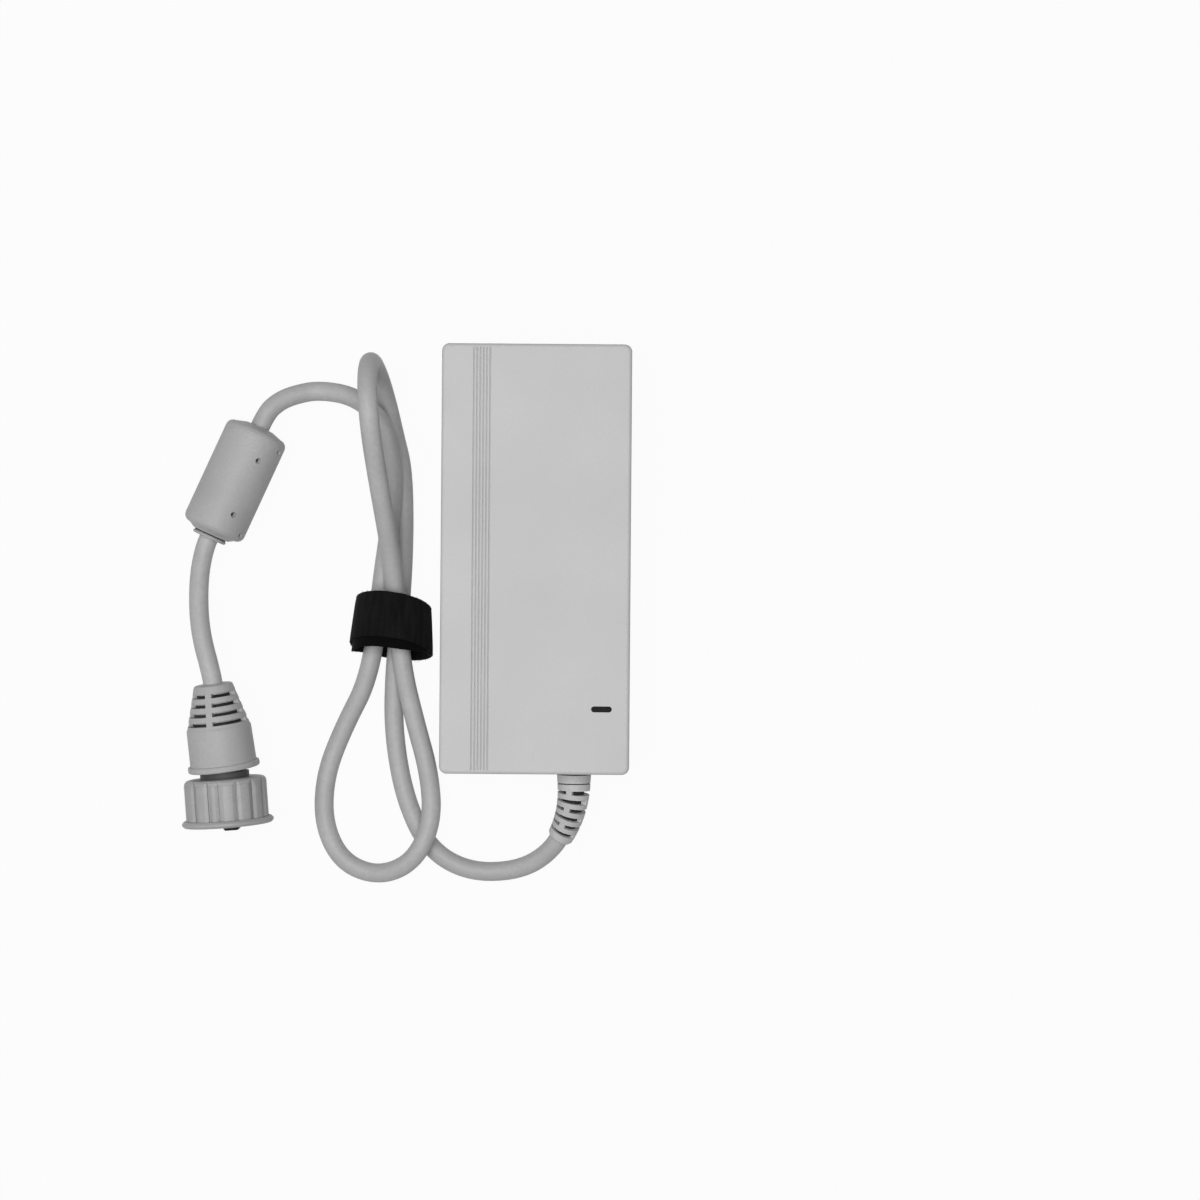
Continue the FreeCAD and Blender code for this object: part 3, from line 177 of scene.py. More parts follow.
def drawnMetal(name, look):
    # rolled or drawn metal: fine lines along one direction and small changes of tone
    material, tree, surface = newMaterial(name)
    place = addNode(tree, "ShaderNodeTexCoord").outputs["Object"]
    stretched = addNode(tree, "ShaderNodeMapping", {"Vector": place, "Scale": look["stretch"]})
    lines = addNode(tree, "ShaderNodeTexNoise",
                    {"Vector": stretched.outputs[0], "Scale": 1000 / look["lineMm"], "Detail": 4.0})
    tone = addNode(tree, "ShaderNodeMix",
                   {0: lines.outputs["Fac"], 6: toLinear(look["dark"]), 7: toLinear(look["light"])}, data_type="RGBA")
    rough = addNode(tree, "ShaderNodeMapRange",
                    {"Value": lines.outputs["Fac"], "To Min": look["roughness"] - 0.08,
                     "To Max": look["roughness"] + 0.1})
    tree.links.new(tone.outputs[2], surface.inputs["Base Color"])
    tree.links.new(rough.outputs[0], surface.inputs["Roughness"])
    setSockets(surface, {"Metallic": 1.0})
    return material


plastics = {
    # ABS and PC blend from a spark-eroded mould: dull, even grey with a fine grain; grain is drawn at 0.7 mm to show
    "casePcAbs": {"light": "#C6C6C6", "dark": "#BEBEBE", "grainMm": 0.7, "grainDepthMm": 0.03, "cloudMm": 30,
                  "roughness": 0.52, "roughSpread": 0.05, "specular": 0.4},
    # soft PVC, extruded: a little glossier than the case, faint haze along it
    "leadPvc": {"light": "#B8B8B8", "dark": "#ACACAC", "grainMm": 1.6, "grainDepthMm": 0.03, "cloudMm": 14,
                "roughness": 0.46, "roughSpread": 0.06, "specular": 0.3},
    # soft PVC moulded over the lead: matte, slightly greasy
    "overmouldPvc": {"light": "#B4B4B4", "dark": "#A8A8A8", "grainMm": 0.9, "grainDepthMm": 0.03, "cloudMm": 16,
                     "roughness": 0.5, "roughSpread": 0.06, "specular": 0.3},
    # the same PVC, paler, on the strain relief
    "reliefPvc": {"light": "#C3C3C3", "dark": "#B7B7B7", "grainMm": 0.9, "grainDepthMm": 0.03, "cloudMm": 10,
                  "roughness": 0.52, "roughSpread": 0.06, "specular": 0.3},
    # near black: painted shade, laid at the bottom of slots, grooves and dimples and along joints where there is only
    # shade
    "paintedShadePvc": {"light": "#2E2E2E", "dark": "#1E1E1E", "grainMm": 0.9, "grainDepthMm": 0.02, "cloudMm": 8,
                "roughness": 0.7, "roughSpread": 0.05, "specular": 0.2},
    # glass-filled nylon: hard, dry, faint flow marks
    "nutNylon": {"light": "#ACACAC", "dark": "#A0A0A0", "grainMm": 1.1, "grainDepthMm": 0.025, "cloudMm": 9,
                 "roughness": 0.46, "roughSpread": 0.06, "specular": 0.35},
    # the neck: the nut's nylon darkened, as painted shade where the neck sits between the collar and the nut
    "neckNylonShaded": {"light": "#565656", "dark": "#484848", "grainMm": 1.0, "grainDepthMm": 0.02, "cloudMm": 8,
                  "roughness": 0.55, "roughSpread": 0.05, "specular": 0.25},
    # black PBT of contact carriers and inlets
    "carrierPbt": {"light": "#101010", "dark": "#080808", "grainMm": 0.8, "grainDepthMm": 0.02, "cloudMm": 6,
                   "roughness": 0.4, "roughSpread": 0.06, "specular": 0.12},
    "inletPbt": {"light": "#1A1A1A", "dark": "#101010", "grainMm": 0.8, "grainDepthMm": 0.02, "cloudMm": 8,
                 "roughness": 0.45, "roughSpread": 0.06},
    # smoked polycarbonate window: dark and smooth
    "smokedPc": {"light": "#0E0E0E", "dark": "#080808", "grainMm": 2.0, "grainDepthMm": 0.004, "cloudMm": 6,
                 "roughness": 0.3, "roughSpread": 0.03, "ior": 1.58, "specular": 0.04},
    # nitrile rubber ring
    "nitrileRubber": {"light": "#181818", "dark": "#101010", "grainMm": 0.5, "grainDepthMm": 0.02, "cloudMm": 5,
                      "roughness": 0.6, "roughSpread": 0.06},
    # glass-fibre board under green solder resist
    "boardLaminate": {"light": "#2F6B3C", "dark": "#275A32", "grainMm": 0.9, "grainDepthMm": 0.02, "cloudMm": 12,
                      "roughness": 0.35, "roughSpread": 0.08},
    "fuseCeramic": {"light": "#EDE8DA", "dark": "#E2DCCB", "grainMm": 0.8, "grainDepthMm": 0.02, "cloudMm": 5,
                    "roughness": 0.3, "roughSpread": 0.05},
    # sintered ferrite: dark, dull, slightly porous
    "sinteredFerrite": {"light": "#3A3A3C", "dark": "#29292B", "grainMm": 0.4, "grainDepthMm": 0.03, "cloudMm": 5,
                        "roughness": 0.6, "roughSpread": 0.08},
    "filmCapacitorCase": {"light": "#D8BE3C", "dark": "#CDB133", "grainMm": 0.8, "grainDepthMm": 0.02, "cloudMm": 8,
                          "roughness": 0.4, "roughSpread": 0.05},
    "shrinkSleeve": {"light": "#20242E", "dark": "#181B24", "grainMm": 1.4, "grainDepthMm": 0.02, "cloudMm": 9,
                     "roughness": 0.25, "roughSpread": 0.05},
    "discCoating": {"light": "#2C66A8", "dark": "#225593", "grainMm": 0.7, "grainDepthMm": 0.03, "cloudMm": 4,
                    "roughness": 0.45, "roughSpread": 0.06},
    "packageEpoxy": {"light": "#1C1C1D", "dark": "#131314", "grainMm": 0.4, "grainDepthMm": 0.02, "cloudMm": 4,
                     "roughness": 0.55, "roughSpread": 0.06},
    "bobbinPhenolic": {"light": "#242120", "dark": "#191716", "grainMm": 0.7, "grainDepthMm": 0.02, "cloudMm": 6,
                       "roughness": 0.45, "roughSpread": 0.06},
    "windingTape": {"light": "#DDBB35", "dark": "#CFA92A", "grainMm": 2.5, "grainDepthMm": 0.03, "cloudMm": 8,
                    "roughness": 0.3, "roughSpread": 0.06},
    "lampEpoxy": {"light": "#9BD88C", "dark": "#86C979", "grainMm": 1.5, "grainDepthMm": 0.005, "cloudMm": 3,
                  "roughness": 0.15, "roughSpread": 0.03},
    "wireInsulation": {"light": "#A3211B", "dark": "#8C1914", "grainMm": 1.0, "grainDepthMm": 0.01, "cloudMm": 5,
                       "roughness": 0.4, "roughSpread": 0.05},
}
metals = {
    # zinc plated steel screws, turned
    "zincSteel": {"light": "#C2C3C2", "dark": "#9C9E9E", "lineMm": 0.4, "stretch": (1, 1, 8), "roughness": 0.35},
    # nickel plated contacts and clips
    "nickelPlate": {"light": "#D6D2C9", "dark": "#B9B4A9", "lineMm": 0.5, "stretch": (6, 1, 6), "roughness": 0.28},
    # extruded aluminium plate
    "sinkAluminium": {"light": "#D2D4D6", "dark": "#B4B6B8", "lineMm": 0.6, "stretch": (1, 0.1, 4), "roughness": 0.38},
    # enamelled copper wire, close wound
    "enamelledCopper": {"light": "#C46A35", "dark": "#8E4018", "lineMm": 0.8, "stretch": (4, 4, 0.4), "roughness": 0.35},
}
finish = {name: mouldedPlastic(name, look) for name, look in plastics.items()}
finish.update({name: drawnMetal(name, look) for name, look in metals.items()})

# the coupling nut lies level; the ribs and the thread share its axis
nutAxis = {"centreMm": (-104.355349, -76.572529, 15.384038), "headingDeg": 4.5}
nutRibs = {"fromMm": -0.7, "toMm": 11.2, "firstGrooveDeg": -1.1, "pitchDeg": 344 / 14, "ribs": 14, "crownMm": 0.3}


def crownRibs(material):
    # the ribs of the nut are crowned a little from groove to groove; the narrow rib comes last, going round to the right
    tree = material.node_tree
    grain = [node for node in tree.nodes if node.bl_idname == "ShaderNodeBump"][0]
    heading = math.radians(nutAxis["headingDeg"])
    right = (math.cos(heading), math.sin(heading), 0)
    forward = (math.sin(heading), -math.cos(heading), 0)
    wide = nutRibs["ribs"] * nutRibs["pitchDeg"]
    place = addNode(tree, "ShaderNodeTexCoord").outputs["Object"]
    offset = addNode(tree, "ShaderNodeVectorMath",
                     {0: place, 1: Vector(nutAxis["centreMm"]) * mm}, operation="SUBTRACT").outputs[0]
    sideways = addNode(tree, "ShaderNodeVectorMath", {0: offset, 1: right}, operation="DOT_PRODUCT").outputs["Value"]
    lengthwise = addNode(tree, "ShaderNodeVectorMath", {0: offset, 1: forward}, operation="DOT_PRODUCT").outputs["Value"]
    upward = addNode(tree, "ShaderNodeSeparateXYZ", {0: offset}).outputs["Z"]
    turn = addNode(tree, "ShaderNodeMath", {0: sideways, 1: upward}, operation="ARCTAN2").outputs[0]
    turnDeg = addNode(tree, "ShaderNodeMath", {0: turn}, operation="DEGREES").outputs[0]
    ahead = addNode(tree, "ShaderNodeMath", {0: turnDeg, 1: nutRibs["firstGrooveDeg"]}, operation="SUBTRACT").outputs[0]
    past = addNode(tree, "ShaderNodeMath", {0: ahead, 1: 360.0}, operation="FLOORED_MODULO").outputs[0]
    ribsPast = addNode(tree, "ShaderNodeMath", {0: past, 1: nutRibs["pitchDeg"]}, operation="DIVIDE").outputs[0]
    shareWide = addNode(tree, "ShaderNodeMath", {0: ribsPast}, operation="FRACT").outputs[0]
    shareNarrow = addNode(tree, "ShaderNodeMapRange", {"Value": past, "From Min": wide, "From Max": 360.0}).outputs[0]
    isNarrow = addNode(tree, "ShaderNodeMath", {0: past, 1: wide}, operation="GREATER_THAN").outputs[0]
    share = addNode(tree, "ShaderNodeMix", {0: isNarrow, 2: shareWide, 3: shareNarrow}).outputs[0]
    halfTurn = addNode(tree, "ShaderNodeMath", {0: share, 1: math.pi}, operation="MULTIPLY").outputs[0]
    crown = addNode(tree, "ShaderNodeMath", {0: halfTurn}, operation="SINE").outputs[0]
    pastStart = addNode(tree, "ShaderNodeMath",
                        {0: lengthwise, 1: nutRibs["fromMm"] * mm}, operation="GREATER_THAN").outputs[0]
    beforeEnd = addNode(tree, "ShaderNodeMath",
                        {0: lengthwise, 1: nutRibs["toMm"] * mm}, operation="LESS_THAN").outputs[0]
    within = addNode(tree, "ShaderNodeMath", {0: pastStart, 1: beforeEnd}, operation="MULTIPLY").outputs[0]
    height = addNode(tree, "ShaderNodeMath", {0: crown, 1: within}, operation="MULTIPLY").outputs[0]
    ribs = addNode(tree, "ShaderNodeBump", {"Height": height, "Distance": nutRibs["crownMm"] * mm, "Strength": 1.0})
    tree.links.new(ribs.outputs[0], grain.inputs["Normal"])


crownRibs(finish["nutNylon"])

wears = {
    "casePcAbs": ["lower_case", "upper_case"],
    "zincSteel": ["case_screws"],
    "boardLaminate": ["circuit_board"],
    "inletPbt": ["mains_inlet"],
    "nickelPlate": ["inlet_pins", "fuse_clips", "plug_contacts"],
    "smokedPc": ["light_pipe"],
    "lampEpoxy": ["indicator_led"],
    "fuseCeramic": ["fuse"],
    "sinteredFerrite": ["filter_choke_core", "transformer_core", "output_choke_core", "ferrite_core"],
    "enamelledCopper": ["filter_choke_windings", "output_choke_winding"],
    "filmCapacitorCase": ["filter_capacitor"],
    "packageEpoxy": ["bridge_rectifier", "power_transistor", "output_rectifier", "controller_chip", "feedback_coupler"],
    "shrinkSleeve": ["bulk_capacitor", "output_capacitors"],
    "sinkAluminium": ["primary_heat_sink", "output_heat_sink"],
    "bobbinPhenolic": ["transformer_bobbin"],
    "windingTape": ["transformer_winding"],
    "discCoating": ["disc_capacitors"],
    "wireInsulation": ["output_wires"],
    "overmouldPvc": ["ferrite_cover", "plug_boot"],
    "reliefPvc": ["strain_relief"],
    "leadPvc": ["output_lead_in_bead"],
    "neckNylonShaded": ["plug_body"],
    "nitrileRubber": ["seal_ring"],
    "carrierPbt": ["plug_insert"],
    "nutNylon": ["coupling_nut"],
}


def dress(thing, material):
    thing.data.materials.clear()
    thing.data.materials.append(material)


for name, dressed in wears.items():
    for node in dressed:
        dress(cad[node], finish[name])
dress(mainLead, finish["leadPvc"])
dress(tailLead, finish["leadPvc"])
print("materials on", sum(len(v) for v in wears.values()), "nodes")


# strap: hook-and-loop tape wrapped once round, lapped on itself, a little wider towards the loops of the lead
strap = {
    "centreMm": (-48.8, -22.6, 12.05), "headingDeg": 2.8, "rimHeadingDeg": 7.2,
    "widthMm": 15.2, "spanMm": 27.2, "flareMm": 2.8, "heightMm": 24.0, "leanMm": 8.0,
    "thicknessMm": 0.75, "layerGapMm": 0.05, "flatLengthMm": 128.0, "around": 300, "across": 22,
    # the tape starts under itself: it comes out from the lap, slips to the front and back again
    "startDeg": -15.0, "lapDeg": 210.0, "outerFromDeg": 345.0,
    "slipMm": 3.2, "slipOutDeg": (0.0, 100.0), "slipBackDeg": (175.0, 255.0),
    "edgeWaveMm": 0.22, "edgeCurlMm": 0.12, "waveAround": 0.09, "waveAcross": 3, "waveRow": 4.0,
}
fringe = {"around": 220, "innerShare": 0.96, "density": 1.1e7, "length": 0.75 * mm, "thickness": 0.055, "seed": 11}


def eased(value, low, high):
    share = min(1.0, max(0.0, (value - low) / (high - low)))
    return share * share * (3 - 2 * share)


def strapPoint(travelled, share):
    # a point of the outer face, some degrees on from the tape's start; share runs across the tape from -0.5 to 0.5
    heading, rimHeading = math.radians(strap["headingDeg"]), math.radians(strap["rimHeadingDeg"])
    along = Vector((-math.sin(heading), -math.cos(heading), 0))
    across = Vector((math.cos(rimHeading), -math.sin(rimHeading), 0))
    rise = Vector((0, 0, strap["heightMm"])) - along * strap["leanMm"]
    buried = 1.0 - eased(travelled, strap["lapDeg"], strap["outerFromDeg"])  # the first stretch lies under the last one
    inset = buried * (strap["thicknessMm"] + strap["layerGapMm"])
    slip = strap["slipMm"] * (eased(travelled, *strap["slipOutDeg"]) - eased(travelled, *strap["slipBackDeg"]))
    turn = math.radians(strap["startDeg"] + travelled)
    halfSpan = (strap["spanMm"] + share * strap["flareMm"]) / 2 - inset
    halfRise = 0.5 - inset / strap["heightMm"]
    side = across * (halfSpan * math.cos(turn)) + rise * (halfRise * math.sin(turn))
    return (Vector(strap["centreMm"]) + side + along * (share * strap["widthMm"] + slip)) * mm


def makeStrap():
    around, across = strap["around"], strap["across"]
    total = 360.0 + strap["lapDeg"]
    middle = Vector(strap["centreMm"]) * mm
    points, faces, flat = [], [], []
    for i in range(around + 1):
        travelled = total * i / around
        for j in range(across + 1):
            share = j / across - 0.5
            edge = abs(share) * 2
            spot = Vector((travelled * strap["waveAround"], share * strap["waveAcross"], strap["waveRow"]))
            wave = abs(noise.noise(spot)) * strap["edgeWaveMm"] * edge ** 4
            point = strapPoint(travelled, share)
            outward = point - middle
            outward.y = 0
            outward.normalize()
            points.append(point - outward * (wave + strap["edgeCurlMm"] * edge ** 8) * mm)
            flat.append((i / around * strap["flatLengthMm"] * mm, j / across * strap["widthMm"] * mm))
    for i in range(around):
        for j in range(across):
            a = i * (across + 1) + j
            faces.append((a, a + across + 1, a + across + 2, a + 1))
    mesh = bpy.data.meshes.new("leadStrap")
    mesh.from_pydata(points, [], faces)
    layer = mesh.uv_layers.new(name="tape")
    for loop in mesh.loops:
        layer.data[loop.index].uv = flat[loop.vertex_index]
    for face in mesh.polygons:
        face.use_smooth = True
    return linkIn(bpy.data.objects.new("leadStrap", mesh))


def applyModifiers(thing):
    depsgraph = bpy.context.evaluated_depsgraph_get()
    mesh = bpy.data.meshes.new_from_object(thing.evaluated_get(depsgraph), preserve_all_data_layers=True,
                                           depsgraph=depsgraph)
    thing.modifiers.clear()
    thing.data = mesh
    return thing


def loopPile(name, look):
    # brushed nylon loops on a knitted backing: near black, with loops that scatter light
    material, tree, surface = newMaterial(name)
    flat = addNode(tree, "ShaderNodeUVMap", uv_map="tape").outputs[0]
    pile = addNode(tree, "ShaderNodeTexNoise",
                   {"Vector": flat, "Scale": 1000 / look["loopMm"], "Detail": 4.0, "Roughness": 0.7})
    brushed = addNode(tree, "ShaderNodeMapping", {"Vector": flat, "Scale": look["stretch"]})
    combed = addNode(tree, "ShaderNodeTexNoise",
                     {"Vector": brushed.outputs[0], "Scale": 1000 / look["combMm"], "Detail": 2.0})
    height = addNode(tree, "ShaderNodeMath", {0: pile.outputs["Fac"], 1: combed.outputs["Fac"]}, operation="ADD")
    tone = addNode(tree, "ShaderNodeMapRange", {"Value": height.outputs[0], "From Min": 0.8, "From Max": 1.3})
    colour = addNode(tree, "ShaderNodeMix",
                     {0: tone.outputs[0], 6: toLinear(look["dark"]), 7: toLinear(look["light"])}, data_type="RGBA")
    bump = addNode(tree, "ShaderNodeBump",
                   {"Height": height.outputs[0], "Distance": look["depthMm"] * mm, "Strength": 1.0})
    # painted shade: the lapped first stretch of tape, under the outer layer, gets a darker tone
    travelled = addNode(tree, "ShaderNodeSeparateXYZ", {0: flat}).outputs["X"]
    pastShade = addNode(tree, "ShaderNodeMapRange",
                    {"Value": travelled, "From Min": look["innerMm"] * mm, "From Max": look["outerMm"] * mm})
    shadedTone = addNode(tree, "ShaderNodeMix",
                      {0: pastShade.outputs[0], 6: toLinear(look["inner"]), 7: colour.outputs[2]}, data_type="RGBA")
    tree.links.new(shadedTone.outputs[2], surface.inputs["Base Color"])
    tree.links.new(bump.outputs[0], surface.inputs["Normal"])
    setSockets(surface, {"Roughness": 0.9, "Specular IOR Level": 0.06, "Sheen Weight": 0.03, "Sheen Roughness": 0.5})
    return material


finish["loopPile"] = loopPile("loopPile", {
    "light": "#1B1B1B", "dark": "#0D0D0D", "loopMm": 0.5, "combMm": 1.6, "stretch": (1.0, 0.15, 1.0), "depthMm": 0.1,
    "inner": "#060606", "innerMm": 47, "outerMm": 51})  # painted shade: the lapped first stretch, inside the loop, is darker


def fibreTree():
    # short bent fibres scattered over the faces that it is given
    tree = bpy.data.node_groups.new("looseFibres", "GeometryNodeTree")
    for title, kind in (("Geometry", "NodeSocketGeometry"), ("Density", "NodeSocketFloat"), ("Length", "NodeSocketFloat"),
                        ("Thickness", "NodeSocketFloat"), ("Seed", "NodeSocketInt"), ("Material", "NodeSocketMaterial")):
        tree.interface.new_socket(title, in_out="INPUT", socket_type=kind)
    tree.interface.new_socket("Geometry", in_out="OUTPUT", socket_type="NodeSocketGeometry")
    given = addNode(tree, "NodeGroupInput")
    scattered = addNode(tree, "GeometryNodeDistributePointsOnFaces",
                        {"Mesh": given.outputs["Geometry"], "Density": given.outputs["Density"],
                         "Seed": given.outputs["Seed"]})
    bend = addNode(tree, "GeometryNodeCurvePrimitiveBezierSegment",
                   {"Resolution": 4, "Start": (0, 0, 0), "Start Handle": (0, 0, 0.5),
                    "End Handle": (0.5, 0, 0.8), "End": (0.7, 0.1, 0.6)})
    ring = addNode(tree, "GeometryNodeCurvePrimitiveCircle", {"Resolution": 3, "Radius": given.outputs["Thickness"]})
    fibre = addNode(tree, "GeometryNodeCurveToMesh",
                    {"Curve": bend.outputs[0], "Profile Curve": ring.outputs[0], "Fill Caps": True})
    twist = addNode(tree, "FunctionNodeRandomValue",
                    {"Min": (-0.9, -0.9, 0.0), "Max": (0.9, 0.9, 6.283), "Seed": given.outputs["Seed"]},
                    data_type="FLOAT_VECTOR")
    turned = addNode(tree, "FunctionNodeRotateRotation",
                     {"Rotation": scattered.outputs["Rotation"], "Rotate By": twist.outputs[0]}, rotation_space="LOCAL")
    size = addNode(tree, "FunctionNodeRandomValue", {2: 0.5, 3: 1.3, "Seed": given.outputs["Seed"]}, data_type="FLOAT")
    scale = addNode(tree, "ShaderNodeMath", {0: size.outputs[1], 1: given.outputs["Length"]}, operation="MULTIPLY")
    placed = addNode(tree, "GeometryNodeInstanceOnPoints",
                     {"Points": scattered.outputs[0], "Instance": fibre.outputs[0], "Rotation": turned.outputs[0],
                      "Scale": scale.outputs[0]})
    real = addNode(tree, "GeometryNodeRealizeInstances", {"Geometry": placed.outputs[0]})
    coloured = addNode(tree, "GeometryNodeSetMaterial",
                       {"Geometry": real.outputs[0], "Material": given.outputs["Material"]})
    addNode(tree, "NodeGroupOutput", {"Geometry": coloured.outputs[0]})
    return tree


def runTree(thing, tree, inputs):
    # sets the inputs by their sockets' identifiers, then bakes the result to a plain mesh
    modifier = thing.modifiers.new(tree.name, "NODES")
    modifier.node_group = tree
    identifiers = {item.name: item.identifier for item in tree.interface.items_tree if item.in_out == "INPUT"}
    for title, value in inputs.items():
        modifier[identifiers[title]] = value
    return applyModifiers(thing)


def strapRim():
    # narrow bands along both edges of the tape, where threads come loose
    points, faces = [], []
    around = fringe["around"]
    for edge in (-0.5, 0.5):
        base = len(points)
        for i in range(around + 1):
            travelled = (360.0 + strap["lapDeg"]) * i / around
            points += [strapPoint(travelled, edge), strapPoint(travelled, edge * fringe["innerShare"])]
        for i in range(around):
            a = base + 2 * i
            faces.append((a, a + 2, a + 3, a + 1) if edge > 0 else (a, a + 1, a + 3, a + 2))
    mesh = bpy.data.meshes.new("strapFibres")
    mesh.from_pydata(points, [], faces)
    return linkIn(bpy.data.objects.new("strapFibres", mesh))


strapPiece = makeStrap()
wall = strapPiece.modifiers.new("thickness", "SOLIDIFY")
wall.thickness = strap["thicknessMm"] * mm
wall.offset = -1.0
applyModifiers(strapPiece)
dress(strapPiece, finish["loopPile"])
fibres = runTree(strapRim(), fibreTree(),
                 {"Density": fringe["density"], "Length": fringe["length"], "Thickness": fringe["thickness"],
                  "Seed": fringe["seed"], "Material": finish["loopPile"]})
print("strap wrapped, with", len(fibres.data.polygons), "fibre faces")


# painted shade: dark sheets at the bottom of the slots, in the collar grooves, near the relief's root, in the bead's
# groove and in the bead's dimples
shadeSheets = {
    "relief": {"startMm": (13.0, -70.75, 18.0), "straightMm": 4.5, "bendMm": 28.66, "headingDeg": 29.5, "droopDeg": 24.4},
    "reliefSlots": {"fromMm": 6.0, "toMm": 22.6, "radiusMm": 3.5},
    "reliefSeam": {"fromMm": 3.95, "toMm": 4.6, "radiusMm": 5.26},
    # painted shadow: a dark ring for the shadow line where the relief meets the case
    "reliefRoot": {"fromMm": 0.85, "toMm": 1.2, "radiusMm": 5.8},
    "boot": {"rearMm": lead["tailRouteMm"][-1], "headingDeg": 7.4, "dipDeg": 4.0},
    "bootSlots": {"fromMm": 2.9, "toMm": 14.4, "rearRadiusMm": 4.7, "growth": 0.2862},
    "bead": {"startMm": lead["mainRouteMm"][-1], "endMm": lead["tailRouteMm"][0]},
    "beadSeam": {"fromMm": 39.83, "toMm": 40.19, "radiusMm": 5.55},
    # painted shade: dark discs at the dimples' floors, for the shade inside them
    "dimples": [{"floorMm": 9.28, "radiusMm": 0.5, "turnDeg": 32.0, "offsetMm": 9.9},
                {"floorMm": 9.95, "radiusMm": 0.75, "turnDeg": 68.0, "offsetMm": 15.4}],
    "dimpleThicknessMm": 0.1,
    "dimpleAround": 24,
    "caseSeamShadow": {"halfWidthMm": 31.27, "halfLengthMm": 70.77, "cornerMm": 2.52, "cornerSteps": 8, "inletMm": 10.6,
                 "heightsMm": (17.9, 18.08)},
    "around": 64,
}
neverAlong = Vector((0.02, 0.1, 1))  # no tube runs this way, so a cross product with it holds


def aimed(headingDeg, dipDeg, side):
    # a direction towards the front end of the object, to one side and a little down
    heading, dip = math.radians(headingDeg), math.radians(dipDeg)
    return Vector((side * math.sin(heading) * math.cos(dip), -math.cos(heading) * math.cos(dip), -math.sin(dip)))


def addTube(points, faces, stations, radii, around):
    # a closed tube through (place, direction) stations
    base = len(points)
    for (centre, forward), radius in zip(stations, radii):
        first = forward.cross(neverAlong).normalized()
        second = first.cross(forward).normalized()
        for j in range(around):
            turn = 2 * math.pi * j / around
            points.append((centre + (first * math.cos(turn) + second * math.sin(turn)) * radius) * mm)
    for i in range(len(radii) - 1):
        for j in range(around):
            a, b = base + i * around + j, base + i * around + (j + 1) % around
            faces.append((a, b, b + around, a + around))
    faces.append(tuple(base + j for j in range(around - 1, -1, -1)))
    faces.append(tuple(base + (len(radii) - 1) * around + j for j in range(around)))


# builds one dark sheet of painted shade from the given tubes
def makeShadeSheet(name, tubes):
    points, faces = [], []
    for stations, radii, around in tubes:
        addTube(points, faces, stations, radii, around)
    mesh = bpy.data.meshes.new(name)
    mesh.from_pydata(points, [], faces)
    shape = bmesh.new()
    shape.from_mesh(mesh)
    bmesh.ops.recalc_face_normals(shape, faces=shape.faces)
    shape.to_mesh(mesh)
    shape.free()
    for face in mesh.polygons:
        face.use_smooth = len(face.vertices) == 4
    piece = linkIn(bpy.data.objects.new(name, mesh))
    dress(piece, finish["paintedShadePvc"])
    return piece


def reliefStation(distance):
    look = shadeSheets["relief"]
    forward, aim = Vector((0, -1, 0)), aimed(look["headingDeg"], look["droopDeg"], -1)
    start = Vector(look["startMm"])
    if distance <= look["straightMm"]:
        return start + forward * distance, forward
    sideways = Vector((aim.x, 0, aim.z)).normalized()
    angle = (distance - look["straightMm"]) / look["bendMm"]
    bend = start + forward * look["straightMm"]
    place = bend + sideways * (look["bendMm"] * (1 - math.cos(angle))) + forward * (look["bendMm"] * math.sin(angle))
    return place, forward * math.cos(angle) + sideways * math.sin(angle)


def tubeAlong(key, station, rows):
    look = shadeSheets[key]
    distances = [look["fromMm"] + (look["toMm"] - look["fromMm"]) * i / rows for i in range(rows + 1)]
    radii = [look.get("radiusMm") or look["rearRadiusMm"] + look["growth"] * d for d in distances]
    return [station(d) for d in distances], radii, shadeSheets["around"]


def bootStation(distance):
    look = shadeSheets["boot"]
    aim = aimed(look["headingDeg"], look["dipDeg"], 1)
    return Vector(look["rearMm"]) + aim * distance, aim


beadStart, beadEnd = Vector(shadeSheets["bead"]["startMm"]), Vector(shadeSheets["bead"]["endMm"])
beadAim = (beadEnd - beadStart).normalized()


def beadStation(distance):
    return beadStart + beadAim * distance, beadAim


def dimpleShadeDiscs():
    rightward = Vector((-beadAim.y, beadAim.x, 0)).normalized()
    upward = rightward.cross(beadAim).normalized()
    upward = upward if upward.z > 0 else -upward
    middle = (beadStart + beadEnd) / 2
    floors = []
    for look in shadeSheets["dimples"]:
        turn = math.radians(look["turnDeg"])
        outward = upward * math.cos(turn) + rightward * math.sin(turn)
        for side in (-1, 1):
            foot = middle + beadAim * (side * look["offsetMm"]) + outward * look["floorMm"]
            back = foot - outward * shadeSheets["dimpleThicknessMm"]
            floors.append(([(back, outward), (foot, outward)], [look["radiusMm"]] * 2, shadeSheets["dimpleAround"]))
    return floors


# painted shade in the relief's slots, seam and root, in the boot's slots, and in the bead's groove and dimples
reliefShadeSheet = makeShadeSheet("reliefShadeSheet", [
    tubeAlong("reliefSlots", reliefStation, 30), tubeAlong("reliefSeam", reliefStation, 2),
    tubeAlong("reliefRoot", reliefStation, 1)])
bootShadeSheet = makeShadeSheet("bootShadeSheet", [tubeAlong("bootSlots", bootStation, 8)])
beadShadeSheet = makeShadeSheet("beadShadeSheet", [tubeAlong("beadSeam", beadStation, 1)] + dimpleShadeDiscs())


